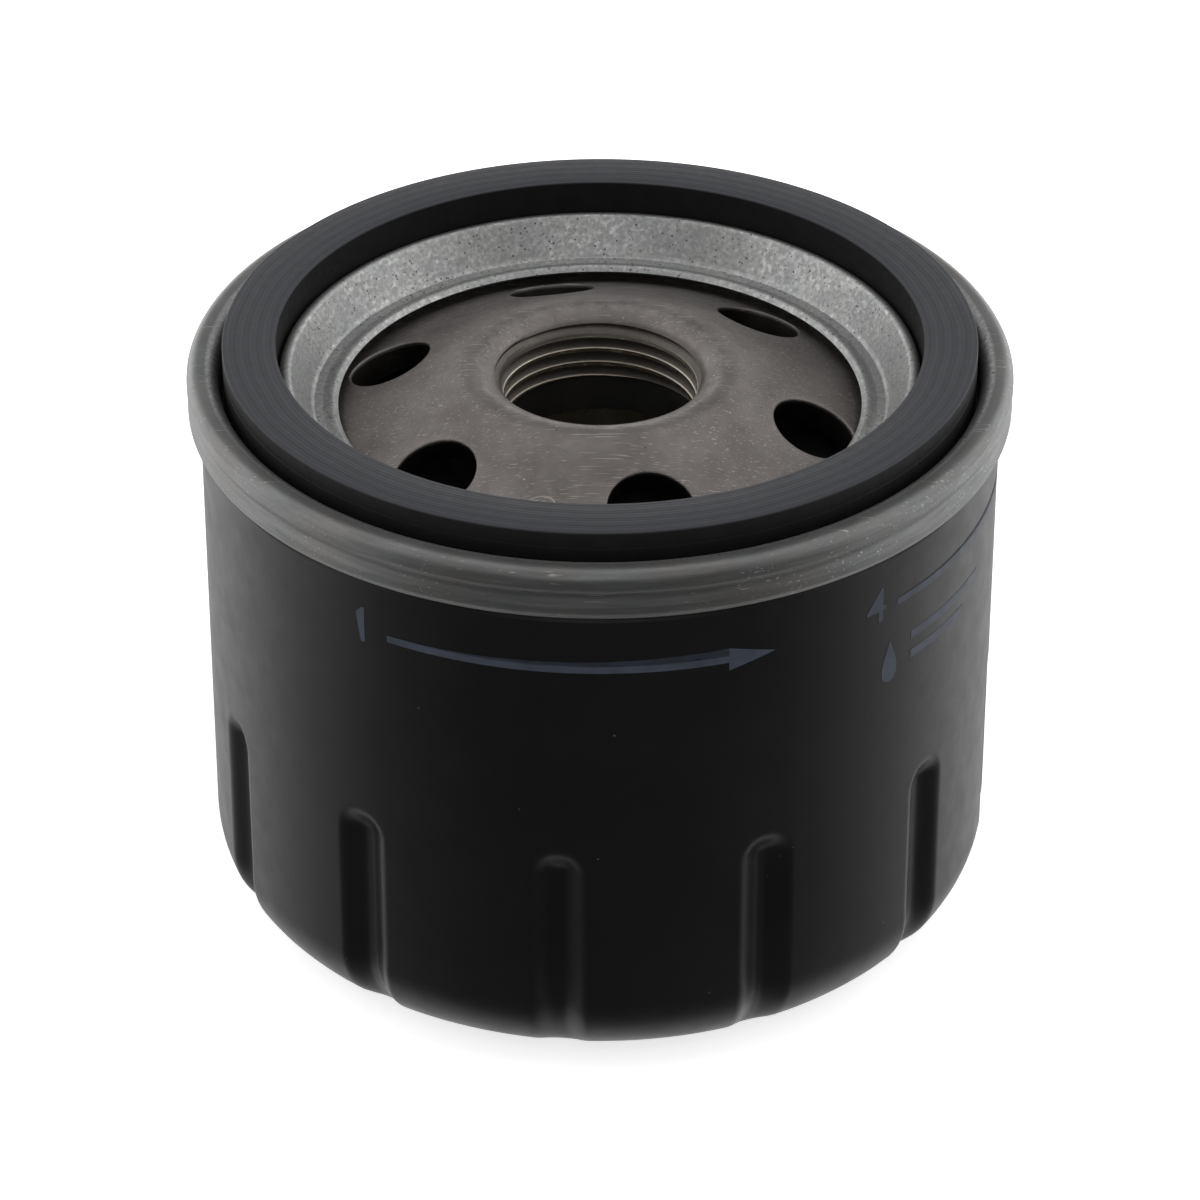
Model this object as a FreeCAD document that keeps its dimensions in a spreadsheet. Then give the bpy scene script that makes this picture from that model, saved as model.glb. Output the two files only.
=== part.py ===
"""Spin-on oil filter: a fluted steel can with a rolled seam, a threaded base plate, a square-section
gasket, and inside it a pleated element with its anti-drain membrane, bypass valve and support spring.

The frame is in millimetres. +Z is the filter's axis and points to the open, threaded end. The origin
is at the middle of the closed end, so the gasket's sealing face is at z = total_height.
"""
import FreeCAD, Part
import math
import os
import re
import Sketcher

Vector = FreeCAD.Vector
Z_AXIS = Vector(0, 0, 1)
UP_FROM_SKETCH = FreeCAD.Rotation(Vector(1, 0, 0), 90)

doc = FreeCAD.newDocument("oil_filter")

# ---------------------------------------------------------------- driving dimensions
SIZES = [
    ("total_height", 58.8, "closed end to the gasket's sealing face"),
    ("can_radius", 38.0, "outside of the can's straight wall"),
    ("can_wall", 0.45, "can sheet"),
    ("corner_radius", 8.15, "outside rounding of the closed end"),
    ("recess_radius", 14.0, "pushed-in middle of the closed end"),
    ("recess_depth", 0.6, "how far the middle is pushed in"),
    ("flute_count", 12, "wrench flutes round the closed end"),
    ("flute_width", 4.85, "width of a flute's flat floor"),
    ("flute_depth", 1.3, "how far a flute is pressed in"),
    ("flute_height", 25.4, "closed end to the top of a flute"),
    ("flute_run_out", 2.0, "height of the slope at a flute's top"),
    ("flute_turn", -5.9, "turn of the first flute from +X, degrees"),
    ("neck_step", 0.45, "can wall drawn in under the seam"),
    ("seam_gap", 0.05, "between two layers of the rolled seam"),
    ("seam_height", 5.0, "rolled seam, top to bottom"),
    ("body_hook_reach", 3.3, "length of the can's hook, down inside the seam"),
    ("cover_hook_reach", 3.45, "length of the lid's hook, up inside the seam"),
    ("compound_height", 0.4, "sealing compound above the lid's hook"),
    ("lid_sheet", 0.5, "lid sheet"),
    ("lid_crown_drop", 2.8, "gasket face down to the lid's inner crown"),
    ("lid_crown_width", 1.15, "flat of the inner crown"),
    ("lid_wall_lean", 0.8, "lean of the wall inside the crown"),
    ("lid_valley_drop", 6.5, "gasket face down to the valley inside the crown"),
    ("lid_lip_width", 3.15, "valley foot to the lid's inner edge"),
    ("lid_lip_rise", 0.6, "rolled lip above the valley"),
    ("gasket_proud", 2.2, "gasket face above the seam"),
    ("gasket_width", 5.05, "gasket section, across"),
    ("gasket_edge", 0.25, "bevel of the gasket's lower edges"),
    ("groove_depth", 4.8, "gasket groove below the seam's top"),
    ("groove_outer_gap", 0.86, "gasket to the groove's outer wall"),
    ("groove_inner_gap", 0.64, "gasket to the groove's inner wall"),
    ("groove_lean", 0.15, "lean of the groove's walls"),
    ("plate_thickness", 2.6, "base plate"),
    ("plate_clearance", 0.7, "base plate's edge to the can's neck"),
    ("plate_valley_depth", 1.04, "foot of the cone below the plate's rim"),
    ("plate_valley_width", 2.2, "foot of the cone to the plate's flat rim"),
    ("plate_bend", 1.5, "bend radius at the foot of the cone"),
    ("cone_apex_drop", 1.645, "gasket face down to where the cone would meet the bore"),
    ("crown_bend", 3.1, "rounding from the cone into the threaded bore"),
    ("neck_reach", 9.9, "gasket face down to the neck's lower end"),
    ("thread_radius", 10.0, "half the nominal thread diameter"),
    ("thread_pitch", 1.5, "thread pitch"),
    ("port_count", 6, "inlet holes"),
    ("port_radius", 4.1, "inlet hole"),
    ("port_margin", 3.75, "inlet hole circle inside the lid's edge"),
    ("port_turn", -17.0, "turn of the first inlet hole from +X, degrees"),
    ("lip_thickness", 1.3, "anti-drain membrane's lip"),
    ("lip_width", 2.4, "anti-drain membrane's lip, across"),
    ("lip_travel", 1.2, "how far the lip opens"),
    ("lip_clearance", 0.16, "open lip to the end cap"),
    ("web_thickness", 0.9, "anti-drain membrane between hub and lip"),
    ("hub_margin", 0.5, "membrane hub outside the threaded bore"),
    ("hub_gap", 0.15, "membrane hub to the neck's end"),
    ("hub_overlap", 1.0, "membrane hub outside the centre tube"),
    ("support_height", 8.5, "support spring as fitted"),
    ("support_radius", 20.0, "support spring, middle of the wire"),
    ("support_wire", 0.9, "support spring wire radius"),
    ("support_turns", 2.75, "support spring turns"),
    ("seat_gap", 0.05, "between faces that rest on each other across a joint"),
    ("cap_sheet", 0.4, "element end cap sheet"),
    ("cap_rim", 3.5, "height of an end cap's rim"),
    ("cap_bend", 1.0, "bend radius at an end cap's rim"),
    ("element_gap", 3.45, "end cap to the inside of a flute"),
    ("tube_radius", 13.2, "centre tube, outside"),
    ("tube_sheet", 0.5, "centre tube sheet"),
    ("tube_fit", 0.2, "end cap collar inside the centre tube"),
    ("tube_hole", 1.7, "centre tube perforation radius"),
    ("tube_hole_rows", 5, "perforations along a column"),
    ("tube_hole_columns", 12, "columns of perforations"),
    ("glue_depth", 0.8, "adhesive under each end of the paper"),
    ("pleat_count", 48, "pleats"),
    ("paper_thickness", 0.5, "filter paper"),
    ("paper_margin", 0.5, "pleats to the centre tube"),
    ("fold_outer", 0.6, "half width of an outer fold"),
    ("fold_inner", 0.32, "half width of an inner fold"),
    ("clip_sheet", 0.3, "seam clip sheet"),
    ("clip_depth", 4.0, "seam clip, along the pleat"),
    ("clip_fit", 0.03, "seam clip to the paper"),
    ("seat_radius", 6.5, "bypass opening in the lower end cap"),
    ("cage_radius", 9.6, "bypass cage, outside"),
    ("cage_height", 14.1, "bypass cage"),
    ("cage_sheet", 0.5, "bypass cage sheet"),
    ("cage_margin", 0.5, "bypass cage's flange inside the centre tube"),
    ("cage_window", 8.0, "bypass cage window, across"),
    ("cage_window_height", 8.0, "bypass cage window, along"),
    ("cage_window_foot", 1.6, "flange to the foot of a window"),
    ("seal_overlap", 1.5, "bypass seal outside the opening"),
    ("seal_thickness", 1.15, "bypass seal"),
    ("disc_overlap", 0.3, "bypass disc outside its seal"),
    ("disc_thickness", 0.6, "bypass disc"),
    ("disc_boss", 1.0, "height of the disc's spring boss"),
    ("washer_radius", 5.2, "backing washer"),
    ("washer_thickness", 0.6, "backing washer"),
    ("stem_radius", 1.5, "valve stem"),
    ("stem_head", 2.6, "rivet head radius"),
    ("stem_head_height", 0.7, "rivet head"),
    ("stem_collar", 2.3, "collar that clamps the disc, radius"),
    ("stem_proud", 1.0, "stem above the cage"),
    ("stem_fit", 0.1, "stem in the cage's hole"),
    ("valve_radius", 4.6, "bypass spring, middle of the wire"),
    ("valve_wire", 0.45, "bypass spring wire radius"),
    ("valve_turns", 6.5, "bypass spring turns"),
    ("boss_fit", 0.3, "bypass spring round the disc's boss"),
]

sheet = doc.addObject("Spreadsheet::Sheet", "Sizes")
for line, (alias, number, note) in enumerate(SIZES, start=1):
    sheet.set(f"A{line}", alias)
    sheet.set(f"B{line}", str(number))
    sheet.set(f"C{line}", note)
    sheet.setAlias(f"B{line}", alias)
doc.recompute()

# ---------------------------------------------------------------- places worked out from them
ALIASES = {alias for alias, _, _ in SIZES}
layout = doc.addObject("App::FeaturePython", "Layout")


def in_words(formula):
    """The formula with each plain word turned into its cell or its worked-out place."""
    def named(found):
        word = found.group()
        if word in ALIASES:
            return "Sizes." + word
        return "Layout." + word if word in layout.PropertiesList else word
    return re.sub(r"[a-z]\w+", named, formula)


def place(name, formula):
    """Adds a worked-out length to the layout, bound to its formula."""
    layout.addProperty("App::PropertyFloat", name)
    layout.setExpression(name, in_words(formula))
    doc.recompute()


def value(formula):
    """The number that a formula of sizes and places gives."""
    found = layout.evalExpression(in_words(formula))
    return float(getattr(found, "Value", found))


# radii, from the can's wall inwards and out over the seam
place("can_bore", "can_radius - can_wall")
place("neck_radius", "can_radius - neck_step")
place("cover_hook_r", "neck_radius + seam_gap")
place("body_hook_r", "cover_hook_r + lid_sheet + seam_gap")
place("seam_radius", "body_hook_r + can_wall + seam_gap + lid_sheet")
place("chuck_radius", "neck_radius - can_wall - seam_gap - lid_sheet")
place("gasket_outer", "chuck_radius - groove_outer_gap")
place("gasket_inner", "gasket_outer - gasket_width")
place("crown_outer", "gasket_inner - groove_inner_gap")
place("crown_inner", "crown_outer - lid_crown_width")
place("valley_foot", "crown_inner - lid_wall_lean")
place("lid_edge", "valley_foot - lid_lip_width")
place("plate_edge", "neck_radius - can_wall - plate_clearance")
place("cone_foot", "lid_edge + lid_lip_width / 3")
place("rim_start", "cone_foot + plate_valley_width")
place("port_circle", "lid_edge - port_margin")
place("bore_radius", "thread_radius - thread_pitch * 0.5412659")
place("neck_outer", "bore_radius + plate_thickness")
place("flute_floor", "can_radius - flute_depth")
place("cap_radius", "flute_floor - can_wall - element_gap")
place("glue_outer", "cap_radius - cap_bend")
place("tube_bore", "tube_radius - tube_sheet")
place("collar_bore", "tube_bore - tube_fit - cap_sheet")
place("hub_bore", "bore_radius + hub_margin")
place("hub_outer", "tube_radius + hub_overlap")
place("lip_outer", "cone_foot + lip_width")
place("seal_radius", "seat_radius + seal_overlap")
place("disc_radius", "seal_radius + disc_overlap")
place("paper_inner", "tube_radius + paper_margin + paper_thickness / 2")
place("paper_outer", "glue_outer - clip_fit - clip_sheet - paper_thickness / 2")

# heights, from the gasket's face down and from the closed end up
place("seam_top", "total_height - gasket_proud")
place("seam_foot", "seam_top - seam_height")
place("body_hook_top", "seam_top - lid_sheet - seam_gap - can_wall")
place("groove_floor", "seam_top - groove_depth")
place("rim_top", "groove_floor - lid_sheet")
place("cone_foot_z", "rim_top - plate_valley_depth")
place("cone_apex_z", "total_height - cone_apex_drop")
place("neck_foot", "total_height - neck_reach")
place("lid_crown_z", "total_height - lid_crown_drop")
place("lid_valley_z", "total_height - lid_valley_drop")
place("lip_top", "cone_foot_z - plate_thickness")
place("lip_foot", "lip_top - lip_thickness")
place("element_top", "lip_foot - lip_travel - lip_clearance")
place("hub_top", "neck_foot - hub_gap")
place("element_foot", "can_wall + support_height + seat_gap")
place("lower_cap_z", "element_foot + cap_sheet")
place("upper_cap_z", "element_top - cap_sheet")
place("paper_foot", "lower_cap_z + glue_depth")
place("paper_top", "upper_cap_z - glue_depth")
place("seal_foot", "lower_cap_z + seat_gap")
place("disc_foot", "seal_foot + seal_thickness")
place("disc_top", "disc_foot + disc_thickness")
place("cage_top", "lower_cap_z + cage_height")

# ---------------------------------------------------------------- drawing helpers
LINE_START = 1
LINE_END = 2
ORIGIN = (-1, 1)


def tie(sketch, kind, refs, formula):
    """Adds a dimension to the sketch and binds it to a formula."""
    index = sketch.addConstraint(Sketcher.Constraint(kind, *refs, value(formula)))
    sketch.renameConstraint(index, f"size{index}")
    sketch.setExpression(f"Constraints.size{index}", in_words(formula))


def pin_point(sketch, geometry, end, across, up):
    """Binds one point's two coordinates."""
    tie(sketch, "DistanceX", (*ORIGIN, geometry, end), across)
    tie(sketch, "DistanceY", (*ORIGIN, geometry, end), up)


def draw(sketch, corners, closed=True):
    """Draws straight sides from corner to corner. A corner is (across, up) or (across, up, rounding),
    each a formula. The sharp corner stays pinned where a rounding cuts it off."""
    count = len(corners)
    points = [Vector(value(c[0]), value(c[1]), 0) for c in corners]
    leave, enter, arcs = list(points), list(points), {}
    for i, corner in enumerate(corners):
        if len(corner) < 3:
            continue
        back = (points[i - 1] - points[i]).normalize()
        ahead = (points[(i + 1) % count] - points[i]).normalize()
        half = back.getAngle(ahead) / 2
        radius = value(corner[2])
        enter[i] = points[i] + back * (radius / math.tan(half))
        leave[i] = points[i] + ahead * (radius / math.tan(half))
        middle = points[i] + (back + ahead).normalize() * (radius / math.sin(half))
        left_turn = back.cross(ahead).z < 0
        arcs[i] = (middle, radius, left_turn)
    sides = count if closed else count - 1
    for i in range(sides):
        sketch.addGeometry(Part.LineSegment(leave[i], enter[(i + 1) % count]), False)
    for i, corner in enumerate(corners):
        before, after = (i - 1) % count, i
        if i in arcs:
            middle, radius, left_turn = arcs[i]
            first, last = (enter[i], leave[i]) if left_turn else (leave[i], enter[i])
            start = math.atan2(first.y - middle.y, first.x - middle.x)
            stop = math.atan2(last.y - middle.y, last.x - middle.x)
            circle = Part.Circle(middle, Z_AXIS, radius)
            arc = sketch.addGeometry(Part.ArcOfCircle(circle, start, stop), False)
            sharp = sketch.addGeometry(Part.Point(points[i]), True)
            arc_in, arc_out = (1, 2) if left_turn else (2, 1)
            pin_point(sketch, sharp, 1, corner[0], corner[1])
            sketch.addConstraint(Sketcher.Constraint("PointOnObject", sharp, 1, before))
            sketch.addConstraint(Sketcher.Constraint("PointOnObject", sharp, 1, after))
            sketch.addConstraint(Sketcher.Constraint("Tangent", before, LINE_END, arc, arc_in))
            sketch.addConstraint(Sketcher.Constraint("Tangent", after, LINE_START, arc, arc_out))
            tie(sketch, "Radius", (arc,), corner[2])
        elif not closed and i == count - 1:
            pin_point(sketch, before, LINE_END, corner[0], corner[1])
        else:
            if closed or i > 0:
                meet = (before, LINE_END, after, LINE_START)
                sketch.addConstraint(Sketcher.Constraint("Coincident", *meet))
            pin_point(sketch, after, LINE_START, corner[0], corner[1])


def rings(sketch, *radii):
    """Draws circles round the origin."""
    for radius in radii:
        circle = Part.Circle(Vector(), Z_AXIS, value(radius))
        index = sketch.addGeometry(circle, False)
        sketch.addConstraint(Sketcher.Constraint("Coincident", index, 3, *ORIGIN))
        tie(sketch, "Radius", (index,), radius)


def body_sketch(body, name, plane):
    """A sketch on one of the body's own origin planes."""
    sketch = body.newObject("Sketcher::SketchObject", name)
    face = next(f for f in body.Origin.OriginFeatures if f.Role == plane)
    sketch.AttachmentSupport = [(face, "")]
    sketch.MapMode = "FlatFace"
    return sketch


def new_body(name):
    body = doc.addObject("PartDesign::Body", name)
    body.Label = name
    body.AllowCompound = True
    return body


def turned(name, corners):
    """A turned or moulded piece: a closed outline in the XZ plane, revolved round Z."""
    body = new_body(name)
    sketch = body_sketch(body, name + "_section", "XZ_Plane")
    draw(sketch, corners)
    feature = body.newObject("PartDesign::Revolution", name + "_turn")
    feature.Profile = sketch
    feature.ReferenceAxis = (sketch, ["V_Axis"])
    feature.Angle = 360
    doc.recompute()
    return body


def pressed(name, corners, thickness):
    """A pressed sheet piece: an open outline of its skin, thickened to one side, revolved round Z.
    The thickness goes to the left of the way that the outline runs, or to the right if it is
    written with a minus."""
    sketch = doc.addObject("Sketcher::SketchObject", name + "_skin")
    sketch.Placement = FreeCAD.Placement(Vector(), UP_FROM_SKETCH)
    draw(sketch, corners, closed=False)
    doc.recompute()
    section = doc.addObject("Part::Offset2D", name + "_sheet")
    section.Source = sketch
    section.Fill = True
    section.Mode = "Skin"
    section.setExpression("Value", in_words(thickness))
    doc.recompute()
    shell = doc.addObject("Part::Revolution", name)
    shell.Source = section
    shell.Axis = Z_AXIS
    shell.Angle = 360
    shell.Solid = True
    shell.Label = name
    doc.recompute()
    return shell


def pad_pattern(name, corners, width, count, turn):
    """Flat-sided wedges: an outline in the XZ plane padded to both sides, repeated round Z."""
    body = new_body(name)
    sketch = body_sketch(body, name + "_section", "XZ_Plane")
    draw(sketch, corners)
    pad = body.newObject("PartDesign::Pad", name + "_pad")
    pad.Profile = sketch
    pad.Midplane = True
    pad.setExpression("Length", in_words(width))
    doc.recompute()
    around = body.newObject("PartDesign::PolarPattern", name + "_around")
    around.Originals = [pad]
    around.Axis = (body_axis(body), [""])
    around.Angle = 360
    around.setExpression("Occurrences", in_words(count))
    body.Tip = around
    body.Placement = FreeCAD.Placement(Vector(), FreeCAD.Rotation(Z_AXIS, value(turn)))
    doc.recompute()
    return body


def body_axis(body):
    return next(f for f in body.Origin.OriginFeatures if f.Role == "Z_Axis")


def boolean(kind, name, base, tool):
    """A cut, fuse or common of two pieces, as a document object."""
    made = doc.addObject("Part::" + kind, name)
    made.Base = base
    made.Tool = tool
    made.Label = name
    doc.recompute()
    return made


def flat_ring(name, inner, outer, foot, height):
    """A ring with flat ends, padded up from its foot."""
    body = new_body(name)
    sketch = body_sketch(body, name + "_rings", "XY_Plane")
    rings(sketch, outer, inner)
    sketch.setExpression("AttachmentOffset.Base.z", in_words(foot))
    pad = body.newObject("PartDesign::Pad", name + "_pad")
    pad.Profile = sketch
    pad.setExpression("Length", in_words(height))
    doc.recompute()
    return body


def swept(name, section, helix, turns_a_face):
    """A solid that follows a helix, its long faces split into stretches of so many turns."""
    helix.SegmentLength = turns_a_face
    doc.recompute()
    solid = doc.addObject("Part::Sweep", name)
    solid.Sections = [section]
    solid.Spine = (helix, [f"Edge{i + 1}" for i in range(len(helix.Shape.Edges))])
    solid.Solid = True
    solid.Frenet = True
    solid.Label = name
    doc.recompute()
    return solid


def coil(name, radius, wire, turns, foot, top):
    """A round-wire coil between two seats, its ends a seat gap clear of each."""
    low = f"{foot} + {wire} + seat_gap"
    rise = f"{top} - {foot} - 2 * {wire} - 2 * seat_gap"
    helix = doc.addObject("Part::Helix", name + "_path")
    helix.setExpression("Radius", in_words(radius))
    helix.setExpression("Height", in_words(rise))
    helix.setExpression("Pitch", in_words(f"( {rise} ) / {turns}"))
    helix.setExpression("Placement.Base.z", in_words(low))
    round_wire = doc.addObject("Part::Circle", name + "_wire")
    round_wire.setExpression("Radius", in_words(wire))
    slope = math.degrees(math.atan2(value(rise) / value(turns), 2 * math.pi * value(radius)))
    across = FreeCAD.Rotation(Vector(1, 0, 0), 90 + slope)
    at = Vector(value(radius), 0, value(low))
    round_wire.Placement = FreeCAD.Placement(at, across)
    return swept(name, round_wire, helix, 0.5)


PARTS = []

# ---------------------------------------------------------------- can
# The sheet's outer skin: closed end, corner, wall, neck and the hook that the lid folds over.
can_skin = [
    ("0", "recess_depth"),
    ("recess_radius - 3 * recess_depth", "recess_depth", "2 * recess_depth"),
    ("recess_radius", "0", "2 * recess_depth"),
    ("can_radius", "0", "corner_radius"),
    ("can_radius", "seam_foot - 2 * neck_step", "can_wall"),
    ("neck_radius", "seam_foot - neck_step / 2", "can_wall"),
    ("neck_radius", "body_hook_top", "( body_hook_r - neck_radius ) * 0.4"),
    ("body_hook_r", "body_hook_top", "( body_hook_r - neck_radius ) * 0.4"),
    ("body_hook_r", "body_hook_top + can_wall - body_hook_reach"),
]
can_shell = pressed("can_shell", can_skin, "can_wall")

# Each flute is pressed straight in towards the axis, so its floor is the wall's own outline
# moved in by the flute's depth, and it fades out where the closed end turns flat.
flute_inside = "flute_floor - corner_radius - flute_width / 10"
beyond = "can_radius + flute_depth"
flute_cut = [
    (flute_inside, "-flute_depth"),
    (flute_inside, "0"),
    ("flute_floor", "0", "corner_radius"),
    ("flute_floor", "flute_height - flute_run_out"),
    (beyond, "flute_height + flute_run_out"),
    (beyond, "-flute_depth"),
]
backing_lift = "can_wall * flute_depth / ( 2 * flute_run_out )"
flute_backing = [
    (flute_inside, "0"),
    (flute_inside, "can_wall"),
    ("flute_floor - can_wall", "can_wall", "corner_radius - can_wall"),
    ("flute_floor - can_wall", f"flute_height - flute_run_out + {backing_lift}"),
    (f"{beyond} - can_wall", f"flute_height + flute_run_out + {backing_lift}"),
    (f"{beyond}", f"flute_height + flute_run_out + {backing_lift}"),
    (f"{beyond}", "0"),
]
around_can = ("flute_count", "flute_turn")
flute_cuts = pad_pattern("flute_cuts", flute_cut, "flute_width", *around_can)
backing_width = "flute_width + 2 * can_wall"
backings = pad_pattern("flute_backings", flute_backing, backing_width, *around_can)
can_outside = turned("can_outside", [
    ("0", "0"),
    ("can_radius", "0", "corner_radius"),
    ("can_radius", "flute_height + 3 * flute_run_out"),
    ("0", "flute_height + 3 * flute_run_out"),
])
backed = boolean("Common", "flute_walls", backings, can_outside)
backed_shell = boolean("Fuse", "can_with_backings", can_shell, backed)
can = boolean("Cut", "can", backed_shell, flute_cuts)
PARTS.append(can)

# ---------------------------------------------------------------- lid and its seam
lid = pressed("seaming_lid", [
    ("lid_edge", "lid_valley_z - lid_lip_rise / 4"),
    ("lid_edge + lid_lip_width / 5", "lid_valley_z + lid_lip_rise", "lid_sheet * 1.4"),
    ("valley_foot - lid_lip_width / 3", "lid_valley_z + lid_lip_rise / 10", "lid_sheet * 3"),
    ("valley_foot", "lid_valley_z", "lid_sheet * 1.2"),
    ("crown_inner", "lid_crown_z", "lid_sheet * 1.2"),
    ("crown_outer", "lid_crown_z", "lid_sheet * 1.2"),
    ("crown_outer + groove_lean", "groove_floor", "lid_sheet"),
    ("chuck_radius - groove_lean", "groove_floor", "lid_sheet"),
    ("chuck_radius", "seam_top", "( seam_radius - chuck_radius ) * 0.46"),
    ("seam_radius", "seam_top", "( seam_radius - chuck_radius ) * 0.46"),
    ("seam_radius", "seam_foot", "( seam_radius - cover_hook_r ) * 0.46"),
    ("cover_hook_r", "seam_foot", "( seam_radius - cover_hook_r ) * 0.46"),
    ("cover_hook_r", "seam_foot + cover_hook_reach"),
], "-lid_sheet")
PARTS.append(lid)

compound_foot = "body_hook_top - compound_height - seam_gap"
PARTS.append(turned("seam_compound", [
    ("cover_hook_r", compound_foot),
    ("cover_hook_r + lid_sheet", compound_foot),
    ("cover_hook_r + lid_sheet", "body_hook_top - seam_gap", "compound_height / 2"),
    ("cover_hook_r", "body_hook_top - seam_gap", "compound_height / 2"),
]))

PARTS.append(turned("gasket", [
    ("gasket_inner + gasket_edge", "groove_floor"),
    ("gasket_outer - gasket_edge", "groove_floor"),
    ("gasket_outer", "groove_floor + gasket_edge"),
    ("gasket_outer", "total_height"),
    ("gasket_inner", "total_height"),
    ("gasket_inner", "groove_floor + gasket_edge"),
]))

# ---------------------------------------------------------------- base plate
plate = pressed("plate_blank", [
    ("plate_edge", "rim_top"),
    ("rim_start", "rim_top", "plate_bend"),
    ("cone_foot", "cone_foot_z", "plate_bend"),
    ("bore_radius", "cone_apex_z", "crown_bend"),
    ("bore_radius", "neck_foot"),
], "plate_thickness")

cone_rise = value("cone_apex_z - cone_foot_z")
cone_run = value("cone_foot - bore_radius")
cone_angle = math.degrees(math.atan2(cone_rise, cone_run))
port_z = value("cone_foot_z") + (value("cone_foot - port_circle")) * cone_rise / cone_run
drills = []
for number in range(int(value("port_count"))):
    drill = doc.addObject("Part::Cylinder", f"port_drill_{number + 1}")
    drill.setExpression("Radius", in_words("port_radius"))
    drill.setExpression("Height", in_words("4 * plate_thickness"))
    tilt = FreeCAD.Rotation(Vector(0, 1, 0), cone_angle)
    turn = FreeCAD.Rotation(Z_AXIS, value("port_turn") + 360 * number / value("port_count"))
    on_cone = FreeCAD.Placement(Vector(value("port_circle"), 0, port_z), tilt)
    sunk = FreeCAD.Placement(Vector(0, 0, -value("3 * plate_thickness")), FreeCAD.Rotation())
    drill.Placement = FreeCAD.Placement(Vector(), turn) * on_cone * sunk
    drills.append(drill)
drill_set = doc.addObject("Part::Compound", "port_drills")
drill_set.Links = drills
doc.recompute()
drilled = boolean("Cut", "drilled_plate", plate, drill_set)

# The thread's groove: 60 degrees, its root flat an eighth of the pitch, cut from inside the bore.
groove_root = value("thread_pitch") / 8
groove_in = value("bore_radius - thread_pitch / 10")
groove_half = groove_root / 2 + (value("thread_radius") - groove_in) * math.tan(math.radians(30))
thread_foot = value("neck_foot - thread_pitch")
groove_corners = [
    Vector(groove_in, 0, thread_foot - groove_half),
    Vector(value("thread_radius"), 0, thread_foot - groove_root / 2),
    Vector(value("thread_radius"), 0, thread_foot + groove_root / 2),
    Vector(groove_in, 0, thread_foot + groove_half),
]
groove = doc.addObject("Part::Feature", "thread_groove_section")
groove.Shape = Part.makePolygon(groove_corners + groove_corners[:1])
thread_path = doc.addObject("Part::Helix", "thread_path")
thread_path.setExpression("Radius", in_words("bore_radius"))
thread_path.setExpression("Pitch", in_words("thread_pitch"))
thread_path.setExpression("Height", in_words("cone_apex_z - neck_foot"))
thread_path.Placement = FreeCAD.Placement(Vector(0, 0, thread_foot), FreeCAD.Rotation())
thread_cut = swept("thread_groove", groove, thread_path, 1)
PARTS.append(boolean("Cut", "base_plate", drilled, thread_cut))

# ---------------------------------------------------------------- anti-drain membrane
PARTS.append(turned("anti_drain_valve", [
    ("hub_bore", "element_top"),
    ("hub_outer", "element_top"),
    ("hub_outer + web_thickness", "lip_foot - web_thickness / 2", "web_thickness"),
    ("lip_outer - lip_width", "lip_foot - web_thickness / 4", "web_thickness * 2"),
    ("lip_outer", "lip_foot", "web_thickness / 2"),
    ("lip_outer", "lip_top", "web_thickness / 2"),
    ("lip_outer - lip_width", "lip_top", "web_thickness / 3"),
    ("lip_outer - lip_width * 1.3", "lip_foot + web_thickness * 3 / 4", "web_thickness"),
    ("hub_outer + web_thickness / 2", "lip_foot + web_thickness / 2", "web_thickness / 2"),
    ("neck_outer + hub_margin", "hub_top", "web_thickness / 2"),
    ("hub_bore", "hub_top", "web_thickness / 3"),
]))

# ---------------------------------------------------------------- element
PARTS.append(pressed("upper_end_cap", [
    ("collar_bore", "element_top - cap_rim"),
    ("collar_bore", "element_top", "cap_sheet + tube_fit"),
    ("cap_radius", "element_top", "cap_bend"),
    ("cap_radius", "element_top - cap_rim"),
], "-cap_sheet"))
PARTS.append(pressed("lower_end_cap", [
    ("seat_radius", "element_foot"),
    ("cap_radius", "element_foot", "cap_bend"),
    ("cap_radius", "element_foot + cap_rim"),
], "cap_sheet"))
glue_bore = "tube_radius + seat_gap"
PARTS.append(flat_ring("lower_adhesive", glue_bore, "glue_outer", "lower_cap_z", "glue_depth"))
PARTS.append(flat_ring("upper_adhesive", glue_bore, "glue_outer", "paper_top", "glue_depth"))

tube = flat_ring("centre_tube", "tube_bore", "tube_radius", "lower_cap_z", "upper_cap_z - lower_cap_z")
tube_pad = tube.Tip
rows = int(value("tube_hole_rows"))
row_pitch = value("upper_cap_z - lower_cap_z - 2 * cap_rim") / rows
for column in range(2):
    holes = body_sketch(tube, f"perforations_{column + 1}", "XZ_Plane")
    turn = FreeCAD.Rotation(Vector(0, 1, 0), 180 * column / value("tube_hole_columns"))
    holes.AttachmentOffset = FreeCAD.Placement(Vector(), turn)
    for row in range(rows):
        up = value("lower_cap_z + cap_rim") + (row + 0.25 + column / 2) * row_pitch
        circle = Part.Circle(Vector(0, up, 0), Z_AXIS, value("tube_hole"))
        index = holes.addGeometry(circle, False)
        holes.addConstraint(Sketcher.Constraint("PointOnObject", index, 3, -2))
        holes.addConstraint(Sketcher.Constraint("DistanceY", *ORIGIN, index, 3, up))
        tie(holes, "Radius", (index,), "tube_hole")
    pocket = tube.newObject("PartDesign::Pocket", f"perforated_{column + 1}")
    pocket.Profile = holes
    pocket.Type = "ThroughAll"
    doc.recompute()
    around = tube.newObject("PartDesign::PolarPattern", f"perforated_around_{column + 1}")
    around.Originals = [pocket]
    around.Axis = (body_axis(tube), [""])
    around.Angle = 360
    around.setExpression("Occurrences", in_words("tube_hole_columns"))
    tube.Tip = around
    doc.recompute()
PARTS.append(tube)


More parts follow.
